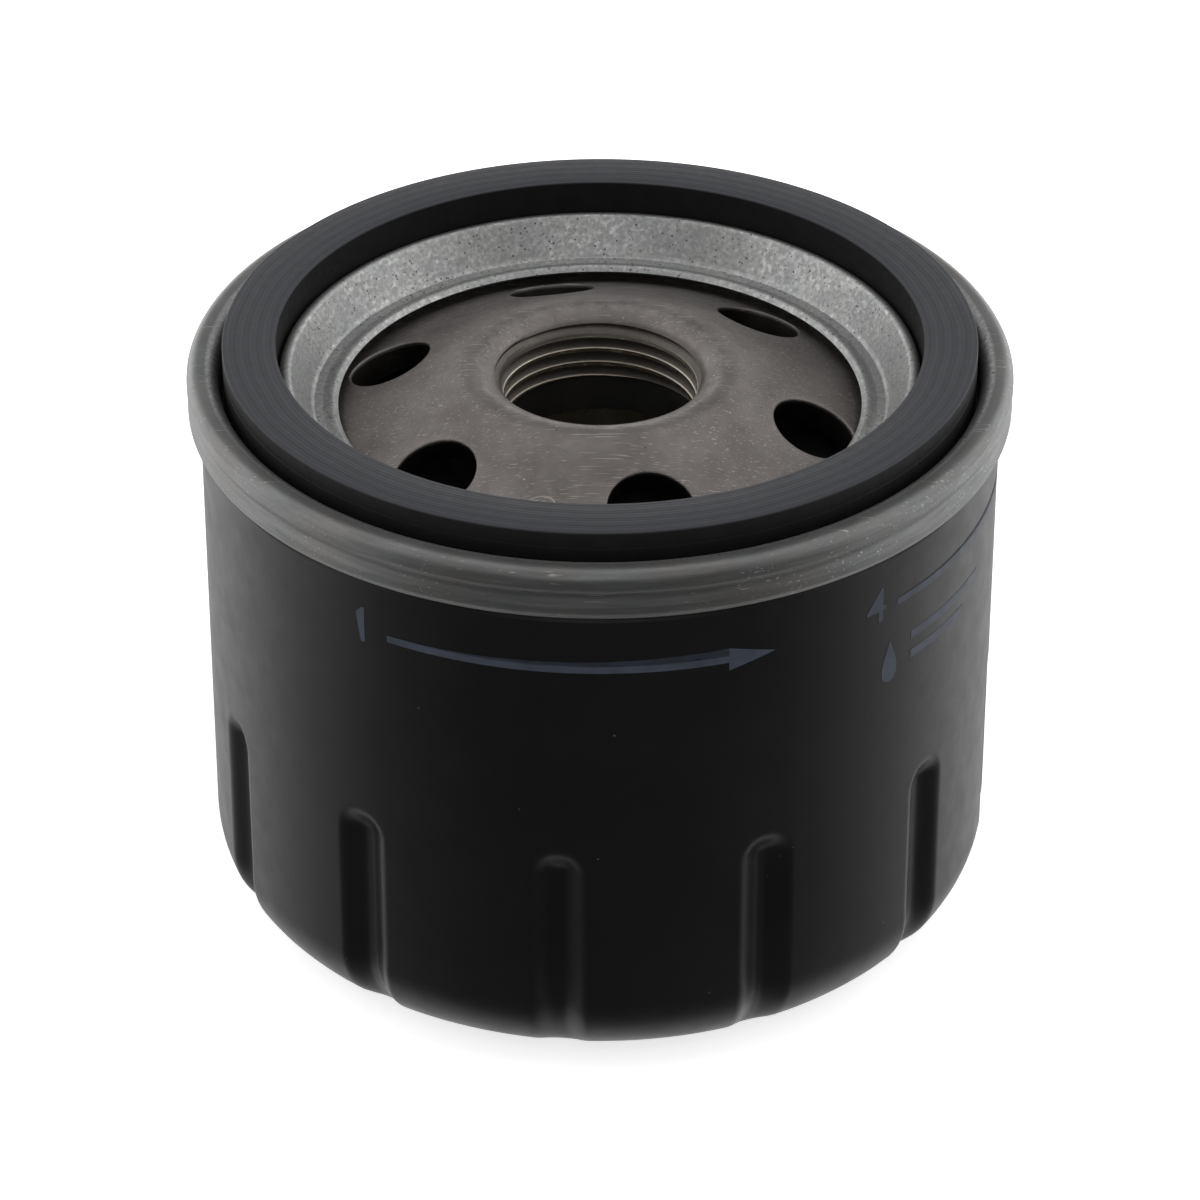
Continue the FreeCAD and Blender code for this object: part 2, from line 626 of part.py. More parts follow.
def beside(points, distance, closed):
    """The points of a line that runs beside another at a distance, to its left."""
    moved = []
    count = len(points)
    for i, point in enumerate(points):
        before = points[i - 1] if closed or i > 0 else None
        after = points[(i + 1) % count] if closed or i < count - 1 else None
        ways = []
        if before is not None:
            ways.append((point - before).normalize())
        if after is not None:
            ways.append((after - point).normalize())
        lefts = [Vector(-way.y, way.x, 0) for way in ways]
        mitre = sum(lefts[1:], lefts[0]).normalize()
        moved.append(point + mitre * (distance / mitre.dot(lefts[0])))
    return moved


def polar(radius, across, angle):
    """A point at a radius along an angle, and a distance across from it."""
    return FreeCAD.Rotation(Z_AXIS, math.degrees(angle)).multVec(Vector(radius, across, 0))


pleats = int(value("pleat_count"))
half_paper = value("paper_thickness / 2")
paper_line = []
for pleat in range(pleats):
    outward = 2 * math.pi * pleat / pleats
    inward = outward + math.pi / pleats
    fold_out, fold_in = value("fold_outer"), value("fold_inner")
    paper_line.append(polar(value("paper_outer"), -fold_out, outward))
    paper_line.append(polar(value("paper_outer"), fold_out, outward))
    paper_line.append(polar(value("paper_inner"), -fold_in, inward))
    paper_line.append(polar(value("paper_inner"), fold_in, inward))
paper_height = value("paper_top - paper_foot")


def upright(name, *outlines):
    """A piece of constant section that stands on the lower adhesive, as high as the paper."""
    wires = [Part.makePolygon(points + points[:1]) for points in outlines]
    piece = doc.addObject("Part::Feature", name)
    section = Part.makeFace(wires, "Part::FaceMakerBullseye")
    piece.Shape = section.extrude(Vector(0, 0, paper_height))
    piece.Label = name
    piece.Placement = FreeCAD.Placement(Vector(0, 0, value("paper_foot")), FreeCAD.Rotation())
    return piece


paper_out = beside(paper_line, -half_paper, True)
paper_in = beside(paper_line, half_paper, True)
PARTS.append(upright("pleated_media", paper_out, paper_in))

# The paper's two ends meet in one outer fold, held by a folded steel clip.
leg = value("clip_depth") / value("paper_outer - paper_inner")
clip_line = [
    paper_line[0] + (paper_line[-1] - paper_line[0]) * leg,
    paper_line[0],
    paper_line[1],
    paper_line[1] + (paper_line[2] - paper_line[1]) * leg,
]
clip_near = beside(clip_line, -half_paper - value("clip_fit"), False)
clip_far = beside(clip_line, -half_paper - value("clip_fit + clip_sheet"), False)
PARTS.append(upright("media_seam_clip", clip_near + clip_far[::-1]))

# ---------------------------------------------------------------- bypass valve
cage_cup = pressed("cage_cup", [
    ("tube_bore - cage_margin", "lower_cap_z + cage_sheet"),
    ("cage_radius", "lower_cap_z + cage_sheet", "cage_sheet"),
    ("cage_radius", "cage_top", "2 * cage_sheet"),
    ("stem_radius + stem_fit", "cage_top"),
], "cage_sheet")
bars = []
for number in range(2):
    bar = doc.addObject("Part::Box", f"window_bar_{number + 1}")
    bar.setExpression("Length", in_words("3 * cage_radius"))
    bar.setExpression("Width", in_words("cage_window"))
    bar.setExpression("Height", in_words("cage_window_height"))
    low = value("lower_cap_z + cage_sheet + cage_window_foot")
    corner = Vector(-value("3 * cage_radius") / 2, -value("cage_window") / 2, low)
    quarter = FreeCAD.Placement(Vector(), FreeCAD.Rotation(Z_AXIS, 45 + 90 * number))
    bar.Placement = quarter * FreeCAD.Placement(corner, FreeCAD.Rotation())
    bars.append(bar)
doc.recompute()
window_bars = boolean("Fuse", "window_bars", *bars)
PARTS.append(boolean("Cut", "bypass_cage", cage_cup, window_bars))

PARTS.append(turned("bypass_seal", [
    ("stem_radius", "seal_foot"),
    ("seal_radius", "seal_foot"),
    ("seal_radius", "disc_foot"),
    ("stem_radius", "disc_foot"),
]))
boss_radius = "valve_radius - valve_wire - boss_fit"
PARTS.append(turned("bypass_disc", [
    ("stem_radius", "disc_foot"),
    ("disc_radius", "disc_foot"),
    ("disc_radius", "disc_top"),
    (boss_radius, "disc_top"),
    (boss_radius, "disc_top + disc_boss", "disc_boss / 3"),
    ("stem_radius", "disc_top + disc_boss"),
]))
PARTS.append(turned("bypass_washer", [
    ("stem_radius", "seal_foot - washer_thickness"),
    ("washer_radius", "seal_foot - washer_thickness"),
    ("washer_radius", "seal_foot"),
    ("stem_radius", "seal_foot"),
]))
rivet_top = "seal_foot - washer_thickness"
collar_foot = "disc_top + disc_boss"
PARTS.append(turned("bypass_stem", [
    ("0", f"{rivet_top} - stem_head_height"),
    ("stem_head", f"{rivet_top} - stem_head_height", "stem_head_height / 2"),
    ("stem_head", rivet_top),
    ("stem_radius", rivet_top),
    ("stem_radius", collar_foot),
    ("stem_collar", collar_foot),
    ("stem_collar", f"{collar_foot} + stem_head_height"),
    ("stem_radius", f"{collar_foot} + stem_head_height"),
    ("stem_radius", "cage_top + stem_proud", "stem_radius / 3"),
    ("0", "cage_top + stem_proud"),
]))
under_cage = "cage_top - cage_sheet"
PARTS.append(coil("bypass_spring", "valve_radius", "valve_wire", "valve_turns", "disc_top", under_cage))

# ---------------------------------------------------------------- support spring
support = ("support_radius", "support_wire", "support_turns", "can_wall", "element_foot")
PARTS.append(coil("support_spring", *support))

# ---------------------------------------------------------------- checks and files
doc.recompute()
for item in doc.Objects:
    if {"Invalid", "Error"} & set(item.State):
        raise RuntimeError(f"{item.Name} failed: {item.State}")
for piece in PARTS:
    shape = piece.Shape
    if shape.isNull() or not shape.isValid() or not shape.Solids:
        raise RuntimeError(f"{piece.Label} has no valid solid")

os.makedirs("parts", exist_ok=True)
for piece in PARTS:
    piece.Shape.exportStep(f"parts/{piece.Label}.step")
    box = piece.Shape.optimalBoundingBox(False)
    print(f"{piece.Label:18} solids {len(piece.Shape.Solids)}  volume {piece.Shape.Volume:9.1f}"
          f"  z {box.ZMin:6.2f} to {box.ZMax:6.2f}  r {max(box.XMax, box.YMax):6.2f}")
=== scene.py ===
import logging
import math
from dataclasses import dataclass
from enum import Enum
from typing import Any, Callable, Sequence

import bmesh
import bpy
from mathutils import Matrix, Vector


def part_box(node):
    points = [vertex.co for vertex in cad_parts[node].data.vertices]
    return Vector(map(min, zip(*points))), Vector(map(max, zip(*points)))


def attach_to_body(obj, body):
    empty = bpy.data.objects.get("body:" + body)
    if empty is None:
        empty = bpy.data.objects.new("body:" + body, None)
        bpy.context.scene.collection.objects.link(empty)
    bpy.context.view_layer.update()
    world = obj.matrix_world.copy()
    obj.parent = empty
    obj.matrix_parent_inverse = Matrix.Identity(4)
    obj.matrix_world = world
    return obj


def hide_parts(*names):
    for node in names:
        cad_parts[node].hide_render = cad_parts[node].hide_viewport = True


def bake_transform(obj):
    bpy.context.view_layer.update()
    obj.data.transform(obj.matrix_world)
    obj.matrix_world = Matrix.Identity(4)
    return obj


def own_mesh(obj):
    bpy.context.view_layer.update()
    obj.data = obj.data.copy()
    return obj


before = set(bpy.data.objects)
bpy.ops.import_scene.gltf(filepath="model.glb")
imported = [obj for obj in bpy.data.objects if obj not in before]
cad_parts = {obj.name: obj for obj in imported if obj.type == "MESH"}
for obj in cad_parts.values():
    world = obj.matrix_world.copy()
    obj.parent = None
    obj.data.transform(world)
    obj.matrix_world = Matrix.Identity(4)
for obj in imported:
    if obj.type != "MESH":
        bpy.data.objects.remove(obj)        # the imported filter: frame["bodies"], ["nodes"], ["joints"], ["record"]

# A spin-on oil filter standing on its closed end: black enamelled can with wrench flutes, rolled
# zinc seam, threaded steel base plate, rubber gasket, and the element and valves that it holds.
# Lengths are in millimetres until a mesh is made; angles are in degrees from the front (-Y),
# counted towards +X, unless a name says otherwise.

logging.basicConfig(level=logging.INFO, format="%(message)s")
log = logging.getLogger("oil_filter")

MM = 0.001
DOUBLE = 1e-7  # metres: points as near as this are one point
WELD = 2e-6  # metres: the same, where two parts of one piece meet
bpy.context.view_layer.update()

Point = tuple[float, float]
Corner = tuple[float, ...]
Triple = tuple[float, float, float]


def top(node: str) -> float:
    """Height of a CAD node's highest point, in millimetres."""
    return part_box(node)[1][2] / MM


def foot(node: str) -> float:
    """Height of a CAD node's lowest point, in millimetres."""
    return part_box(node)[0][2] / MM


def reach(node: str) -> float:
    """Radius of a round CAD node, in millimetres."""
    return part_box(node)[1][0] / MM


class Body(Enum):
    """The rigid bodies that the pieces made here ride on."""

    HOUSING = "housing"
    ELEMENT = "element"
    ANTI_DRAIN = "anti_drain"


# ------------------------------------------------------------------------------ outlines


def rounded(corners: Sequence[Corner], step: float = 9.0) -> list[Point]:
    """Runs from corner to corner, with each rounding drawn as an arc.

    Args:
        corners: (radius, height) or (radius, height, rounding), in millimetres.
        step: turn from one point of an arc to the next, in degrees.

    Returns:
        The points of the open outline.
    """
    path: list[Point] = []
    for i, corner in enumerate(corners):
        here = Vector(corner[:2])
        if len(corner) < 3:
            path.append((here.x, here.y))
            continue
        back = (Vector(corners[i - 1][:2]) - here).normalized()
        ahead = (Vector(corners[i + 1][:2]) - here).normalized()
        half = back.angle(ahead) / 2
        middle = here + (back + ahead).normalized() * (corner[2] / math.sin(half))
        first = here + back * (corner[2] / math.tan(half)) - middle
        turn = math.pi - 2 * half
        side = 1 if back.cross(ahead) < 0 else -1
        count = max(2, math.ceil(math.degrees(turn) / step))
        for k in range(count + 1):
            angle = side * turn * k / count
            cos, sin = math.cos(angle), math.sin(angle)
            path.append((middle.x + first.x * cos - first.y * sin,
                         middle.y + first.x * sin + first.y * cos))
    return path


def beside(path: Sequence[Point], distance: float) -> list[Point]:
    """The outline that runs beside another, to its left.

    Args:
        path: points of an open outline.
        distance: how far to the left, or to the right if it is negative.

    Returns:
        As many points as the outline has.
    """
    moved: list[Point] = []
    for i, point in enumerate(path):
        ways = [Vector(path[j + 1]) - Vector(path[j]) for j in (i - 1, i) if 0 <= j < len(path) - 1]
        lefts = [Vector((-w.y, w.x)).normalized() for w in ways if w.length > 1e-9]
        mitre = sum(lefts[1:], lefts[0].copy()).normalized()
        out = Vector(point) + mitre * (distance / max(mitre.dot(lefts[0]), 0.3))
        moved.append((out.x, out.y))
    return moved


def divided(path: Sequence[Point], longest: float) -> list[Point]:
    """The same outline with points added so that no run is longer than a length.

    Args:
        path: points of an open outline.
        longest: longest run left whole, in millimetres.

    Returns:
        The points of the divided outline.
    """
    out = [path[0]]
    for a, b in zip(path, path[1:]):
        count = max(1, math.ceil(math.dist(a, b) / longest))
        out += [(a[0] + (b[0] - a[0]) * k / count, a[1] + (b[1] - a[1]) * k / count)
                for k in range(1, count + 1)]
    return out


def sheet_loop(corners: Sequence[Corner], thickness: float, step: float = 9.0) -> list[Point]:
    """Closed section of a bent sheet: its skin, and back along the other side."""
    skin = rounded(corners, step)
    return skin + beside(skin, thickness)[::-1]


# ------------------------------------------------------------------------------ meshes


def smoothstep(low: float, high: float, x: float) -> float:
    """0 below low, 1 above high, and a smooth rise between them."""
    t = min(1.0, max(0.0, (x - low) / (high - low)))
    return t * t * (3 - 2 * t)


def place(radius: float, angle: float, height: float) -> Triple:
    """The point at a radius, an angle from the front and a height, in millimetres."""
    turn = math.radians(angle)
    return (radius * math.sin(turn), -radius * math.cos(turn), height)


def tidy(mesh: bpy.types.Mesh, crease: float = 32.0) -> None:
    """Merges doubles, turns the faces outwards as one, and shades the mesh.

    Args:
        mesh: the mesh to mend.
        crease: sharpest bend that is still shaded smooth, in degrees.
    """
    work = bmesh.new()
    work.from_mesh(mesh)
    bmesh.ops.remove_doubles(work, verts=work.verts, dist=DOUBLE)
    bmesh.ops.dissolve_degenerate(work, edges=work.edges, dist=DOUBLE)
    bmesh.ops.recalc_face_normals(work, faces=work.faces)
    if work.calc_volume(signed=True) < 0:
        bmesh.ops.reverse_faces(work, faces=work.faces)
    work.to_mesh(mesh)
    work.free()
    mesh.shade_smooth()
    mesh.set_sharp_from_angle(angle=math.radians(crease))


def make(name: str, points: Sequence[Triple], faces: Sequence[Sequence[int]],
         crease: float = 32.0) -> bpy.types.Object:
    """Makes an object from loose points, its place in its mesh.

    Args:
        name: the piece's name.
        points: corners, in millimetres.
        faces: each face's corners, by number.
        crease: sharpest bend that is still shaded smooth, in degrees.

    Returns:
        The piece.
    """
    mesh = bpy.data.meshes.new(name)
    mesh.from_pydata([[c * MM for c in p] for p in points], [], [list(f) for f in faces])
    tidy(mesh, crease)
    piece = bpy.data.objects.new(name, mesh)
    bpy.context.scene.collection.objects.link(piece)
    return piece


class Skin:
    """A mesh in the making: strips of quads that share one list of points."""

    def __init__(self) -> None:
        """Starts with no points and no faces."""
        self.points: list[Triple] = []
        self.faces: list[tuple[int, ...]] = []

    def strip(self, rows: Sequence[Sequence[Triple]], around: bool, along: bool = False) -> None:
        """Adds a grid of quads.

        Args:
            rows: equally long rows of points, in millimetres.
            around: each row closes on itself.
            along: the last row joins the first.
        """
        base, width = len(self.points), len(rows[0])
        for row in rows:
            self.points += row
        for i in range(len(rows) if along else len(rows) - 1):
            ahead = (i + 1) % len(rows)
            for j in range(width if around else width - 1):
                beyond = (j + 1) % width
                self.faces.append((base + i * width + j, base + i * width + beyond,
                                   base + ahead * width + beyond, base + ahead * width + j))

    def finish(self, name: str, crease: float = 32.0) -> bpy.types.Object:
        """Makes the object."""
        return make(name, self.points, self.faces, crease)


def spin(name: str, loop: Sequence[Point], sides: int = 256, crease: float = 32.0) -> bpy.types.Object:
    """Turns a closed section round the axis.

    Args:
        name: the piece's name.
        loop: the section's (radius, height) points.
        sides: points round the axis.
        crease: angle up to which edges are shaded smooth.

    Returns:
        The piece.
    """
    skin = Skin()
    rows = [[place(max(r, 0.0), 360 * k / sides, z) for k in range(sides)] for r, z in loop]
    skin.strip(rows, around=True, along=True)
    return skin.finish(name, crease)


# ------------------------------------------------------------------------------ node trees


def add(tree: bpy.types.NodeTree, kind: str, inputs: dict[Any, Any] | None = None,
        **settings: Any) -> bpy.types.Node:
    """Adds one node with its settings, its values and its links.

    Args:
        tree: the shader or geometry tree.
        kind: the node's type name.
        inputs: socket name or number to a value, or to the socket that feeds it.
        settings: the node's own properties.

    Returns:
        The node.
    """
    node = tree.nodes.new(kind)
    for key, value in settings.items():
        setattr(node, key, value)
    for key, value in (inputs or {}).items():
        if isinstance(value, bpy.types.NodeSocket):
            tree.links.new(value, node.inputs[key])
        else:
            node.inputs[key].default_value = value
    return node


def new_tree(name: str, inputs: dict[str, str]) -> tuple[bpy.types.NodeTree, bpy.types.Node]:
    """Starts a geometry tree with named inputs and one geometry output.

    Args:
        name: the tree's name.
        inputs: each input's name to its socket type.

    Returns:
        The tree and the node that gives its inputs.
    """
    tree = bpy.data.node_groups.new(name, "GeometryNodeTree")
    for label, kind in inputs.items():
        tree.interface.new_socket(label, in_out="INPUT", socket_type=kind)
    tree.interface.new_socket("Geometry", in_out="OUTPUT", socket_type="NodeSocketGeometry")
    return tree, add(tree, "NodeGroupInput")


def bake(piece: bpy.types.Object, tree: bpy.types.NodeTree, values: dict[str, Any],
         crease: float = 32.0) -> bpy.types.Object:
    """Runs a geometry tree on a piece and keeps the result as its plain mesh.

    Args:
        piece: the object whose mesh goes in.
        tree: the geometry tree.
        values: input name to value.
        crease: angle up to which edges are shaded smooth.

    Returns:
        The same object, with the modifier removed.
    """
    modifier = piece.modifiers.new(tree.name, "NODES")
    modifier.node_group = tree
    sockets = {s.name: s.identifier for s in tree.interface.items_tree if s.in_out == "INPUT"}
    for label, value in values.items():
        modifier[sockets[label]] = value
    graph = bpy.context.evaluated_depsgraph_get()
    graph.update()
    baked = bpy.data.meshes.new_from_object(piece.evaluated_get(graph))
    piece.modifiers.remove(modifier)
    piece.data = baked
    baked.name = piece.name
    tidy(baked, crease)
    return piece


def around_axis_tree() -> bpy.types.NodeTree:
    """Builds the tree that repeats a mesh round the axis and welds the copies.

    Returns:
        The tree, with the inputs Geometry, Count, Step, Weld and Material.
    """
    tree, given = new_tree("repeat_around_axis", {
        "Geometry": "NodeSocketGeometry", "Count": "NodeSocketInt", "Step": "NodeSocketFloat",
        "Weld": "NodeSocketFloat", "Material": "NodeSocketMaterial"})
    spots = add(tree, "GeometryNodePoints", {"Count": given.outputs["Count"]})
    index = add(tree, "GeometryNodeInputIndex")
    turn = add(tree, "ShaderNodeMath", {0: index.outputs[0], 1: given.outputs["Step"]},
               operation="MULTIPLY")
    spin_by = add(tree, "ShaderNodeCombineXYZ", {"Z": turn.outputs[0]})
    copies = add(tree, "GeometryNodeInstanceOnPoints", {
        "Points": spots.outputs[0], "Instance": given.outputs["Geometry"],
        "Rotation": spin_by.outputs[0]})
    real = add(tree, "GeometryNodeRealizeInstances", {0: copies.outputs[0]})
    joined = add(tree, "GeometryNodeMergeByDistance", {
        "Geometry": real.outputs[0], "Distance": given.outputs["Weld"]})
    dressed = add(tree, "GeometryNodeSetMaterial", {
        "Geometry": joined.outputs[0], "Material": given.outputs["Material"]})
    add(tree, "NodeGroupOutput", {0: dressed.outputs[0]})
    return tree


def coil_tree() -> bpy.types.NodeTree:
    """Builds the tree that winds a round-wire coil whose two end turns are closed.

    Returns:
        The tree, with the inputs Geometry, which it leaves out, Radius, Wire, Turns, Foot,
        Rise, Points and Material.
    """
    tree, given = new_tree("wind_coil", {
        "Geometry": "NodeSocketGeometry", "Radius": "NodeSocketFloat", "Wire": "NodeSocketFloat",
        "Turns": "NodeSocketFloat", "Foot": "NodeSocketFloat", "Rise": "NodeSocketFloat",
        "Points": "NodeSocketInt", "Material": "NodeSocketMaterial"})
    radius, turns = given.outputs["Radius"], given.outputs["Turns"]
    helix = add(tree, "GeometryNodeCurveSpiral", {
        "Resolution": given.outputs["Points"], "Rotations": turns,
        "Start Radius": radius, "End Radius": radius, "Height": 0.0})

    def maths(operation: str, *terms: Any) -> bpy.types.NodeSocket:
        """One sum on sockets and numbers."""
        return add(tree, "ShaderNodeMath", dict(enumerate(terms)), operation=operation).outputs[0]

    along = add(tree, "GeometryNodeSplineParameter").outputs["Factor"]
    rise = given.outputs["Rise"]
    pitch = maths("MULTIPLY", given.outputs["Wire"], 2.0)
    first = maths("MULTIPLY", maths("MULTIPLY", along, turns), pitch)
    left = maths("MULTIPLY", maths("SUBTRACT", 1.0, along), turns)
    last = maths("SUBTRACT", rise, maths("MULTIPLY", left, pitch))
    share = maths("DIVIDE", 1.0, turns)
    open_turns = maths("SUBTRACT", 1.0, maths("MULTIPLY", share, 2.0))
    climb = maths("DIVIDE", maths("SUBTRACT", along, share), open_turns)
    middle = maths("ADD", pitch, maths("MULTIPLY", climb,
                                       maths("SUBTRACT", rise, maths("MULTIPLY", pitch, 2.0))))
    height = maths("MAXIMUM", first, maths("MINIMUM", middle, last))
    shift = add(tree, "ShaderNodeCombineXYZ", {"Z": maths("ADD", height, given.outputs["Foot"])})
    placed = add(tree, "GeometryNodeSetPosition", {
        "Geometry": helix.outputs[0], "Offset": shift.outputs[0]})
    wire = add(tree, "GeometryNodeCurvePrimitiveCircle", {
        "Resolution": 16, "Radius": given.outputs["Wire"]})
    solid = add(tree, "GeometryNodeCurveToMesh", {
        "Curve": placed.outputs[0], "Profile Curve": wire.outputs[0], "Fill Caps": True})
    real = add(tree, "GeometryNodeRealizeInstances", {0: solid.outputs[0]})
    dressed = add(tree, "GeometryNodeSetMaterial", {
        "Geometry": real.outputs[0], "Material": given.outputs["Material"]})
    add(tree, "NodeGroupOutput", {0: dressed.outputs[0]})
    return tree


# ------------------------------------------------------------------------------ finishes


def linear(colour: str) -> tuple[float, float, float, float]:
    """Turns an sRGB colour into a linear one.

    Args:
        colour: hex text, such as "#8a8581".

    Returns:
        Red, green, blue and a full alpha.
    """
    parts = [int(colour[i:i + 2], 16) / 255 for i in (1, 3, 5)]
    red, green, blue = [c / 12.92 if c <= 0.04045 else ((c + 0.055) / 1.055) ** 2.4 for c in parts]
    return (red, green, blue, 1.0)


def per_metre(size: float) -> float:
    """Texture scale that gives a pattern of a size in millimetres on Object coordinates."""
    return 1 / (size * MM)


class Finish:
    """A material on Object coordinates, with short ways to its usual patterns."""

    def __init__(self, name: str) -> None:
        """Starts the material with its shader and its coordinates.

        Args:
            name: the material's name.
        """
        self.material = bpy.data.materials.new(name)
        self.material.use_nodes = True
        self.tree = self.material.node_tree
        self.shader = self.tree.nodes["Principled BSDF"]
        self.spot = add(self.tree, "ShaderNodeTexCoord").outputs["Object"]

    def feed(self, socket: str, value: Any) -> None:
        """Links a pattern to the shader, or sets a plain value on it.

        Args:
            socket: the shader's socket.
            value: a value, or the socket that feeds it.
        """
        if isinstance(value, bpy.types.NodeSocket):
            self.tree.links.new(value, self.shader.inputs[socket])
        else:
            self.shader.inputs[socket].default_value = value

    def noise(self, size: float, detail: float = 3.0, spot: Any = None,
              roughness: float = 0.5) -> bpy.types.NodeSocket:
        """Soft random pattern.

        Args:
            size: size of its blotches, in millimetres.
            detail: how many finer layers it has.
            spot: coordinates, if not the plain Object ones.
            roughness: share of the finer layers.

        Returns:
            The pattern, from 0 to 1.
        """
        return add(self.tree, "ShaderNodeTexNoise", {
            "Vector": spot or self.spot, "Scale": per_metre(size), "Detail": detail,
            "Roughness": roughness}).outputs["Fac"]

    def cells(self, size: float, output: str = "Distance", spot: Any = None) -> bpy.types.NodeSocket:
        """Cell pattern with cells of a size in millimetres."""
        return add(self.tree, "ShaderNodeTexVoronoi", {
            "Vector": spot or self.spot, "Scale": per_metre(size)}).outputs[output]

    def ramp(self, value: Any, low: float, high: float, start: float = 0.0,
             end: float = 1.0) -> bpy.types.NodeSocket:
        """Maps low..high onto start..end, clamped."""
        return add(self.tree, "ShaderNodeMapRange", {
            0: value, 1: low, 2: high, 3: start, 4: end}).outputs[0]

    def maths(self, operation: str, *terms: Any) -> bpy.types.NodeSocket:
        """One sum on sockets and numbers."""
        return add(self.tree, "ShaderNodeMath", dict(enumerate(terms)), operation=operation).outputs[0]

    def blend(self, share: Any, one: Any, other: Any) -> bpy.types.NodeSocket:
        """Mixes two colours.

        Args:
            share: how much of the other colour, from 0 to 1.
            one: hex text or a socket.
            other: hex text or a socket.

        Returns:
            The mixed colour.
        """
        one, other = [linear(c) if isinstance(c, str) else c for c in (one, other)]
        node = add(self.tree, "ShaderNodeMix", data_type="RGBA")
        for key, value in (("Factor", share), ("A", one), ("B", other)):
            kinds = ("VALUE",) if key == "Factor" else ("RGBA",)
            socket = next(s for s in node.inputs if s.name == key and s.type in kinds)
            if isinstance(value, bpy.types.NodeSocket):
                self.tree.links.new(value, socket)
            else:
                socket.default_value = value
        return next(s for s in node.outputs if s.type == "RGBA")

    def bump(self, height: Any, depth: float, strength: float = 1.0,
             under: Any = None) -> bpy.types.NodeSocket:
        """Raises the surface by a pattern.

        Args:
            height: the pattern.
            depth: how high 1 stands, in millimetres.
            strength: share of the effect.
            under: another bump, for this one to lie on.

        Returns:
            The normal to feed the shader.
        """
        inputs = {"Height": height, "Distance": depth * MM, "Strength": strength}
        if under is not None:
            inputs["Normal"] = under
        return add(self.tree, "ShaderNodeBump", inputs).outputs[0]

    def radius(self) -> bpy.types.NodeSocket:
        """Distance from the filter's axis.

        Returns:
            The distance, in millimetres.
        """
        parts = add(self.tree, "ShaderNodeSeparateXYZ", {0: self.spot}).outputs
        square = self.maths("ADD", self.maths("MULTIPLY", parts[0], parts[0]),
                            self.maths("MULTIPLY", parts[1], parts[1]))
        return self.maths("DIVIDE", self.maths("SQRT", square), MM)

    def height(self) -> bpy.types.NodeSocket:
        """Height above the closed end, in millimetres."""
        parts = add(self.tree, "ShaderNodeSeparateXYZ", {0: self.spot}).outputs
        return self.maths("DIVIDE", parts[2], MM)

    def scratches(self, length: float, width: float, turn: float,
                  rarity: float) -> bpy.types.NodeSocket:
        """Straight hairlines lying one way.

        Args:
            length: typical length, in millimetres.
            width: typical width, in millimetres.
            turn: direction, in degrees.
            rarity: 0 for many lines, towards 1 for few.

        Returns:
            1 on a line, 0 off it.
        """
        turned = add(self.tree, "ShaderNodeMapping", {
            "Vector": self.spot, "Rotation": (0.3, 0.2, math.radians(turn)),
            "Scale": (width / length, 1.0, 1.0)}).outputs[0]
        return self.ramp(self.noise(width * 4, 1.0, turned), rarity, rarity + 0.03)


@dataclass(frozen=True)
class Enamel:
    """Stoving enamel sprayed on drawn steel: deep black, satin, with a faint orange peel."""

    colour: str = "#040404"
    lift: str = "#080808"
    dust_colour: str = "#4c4c4b"
    peel: float = 1.3
    dust: float = 3.2

    def build(self) -> bpy.types.Material:
        """Makes the material.

        Returns:
            The can's enamel.
        """
        f = Finish("satin_black_enamel")
        tone = f.ramp(f.noise(14.0, 4.0), 0.35, 0.65)
        base = f.blend(tone, self.colour, self.lift)
        speck = f.ramp(f.cells(self.dust), 0.022, 0.034, 1.0, 0.0)
        rare = f.ramp(f.noise(6.0, 1.0), 0.52, 0.6)
        f.feed("Base Color", f.blend(f.maths("MULTIPLY", speck, rare), base, self.dust_colour))
        f.feed("Roughness", f.ramp(f.noise(2.4, 4.0), 0.2, 0.8, 0.36, 0.46))
        f.feed("Specular IOR Level", 0.26)
        peel = f.bump(f.noise(self.peel, 2.0), 0.012)
        f.feed("Normal", f.bump(f.noise(0.25, 2.0), 0.0025, 1.0, peel))
        return f.material


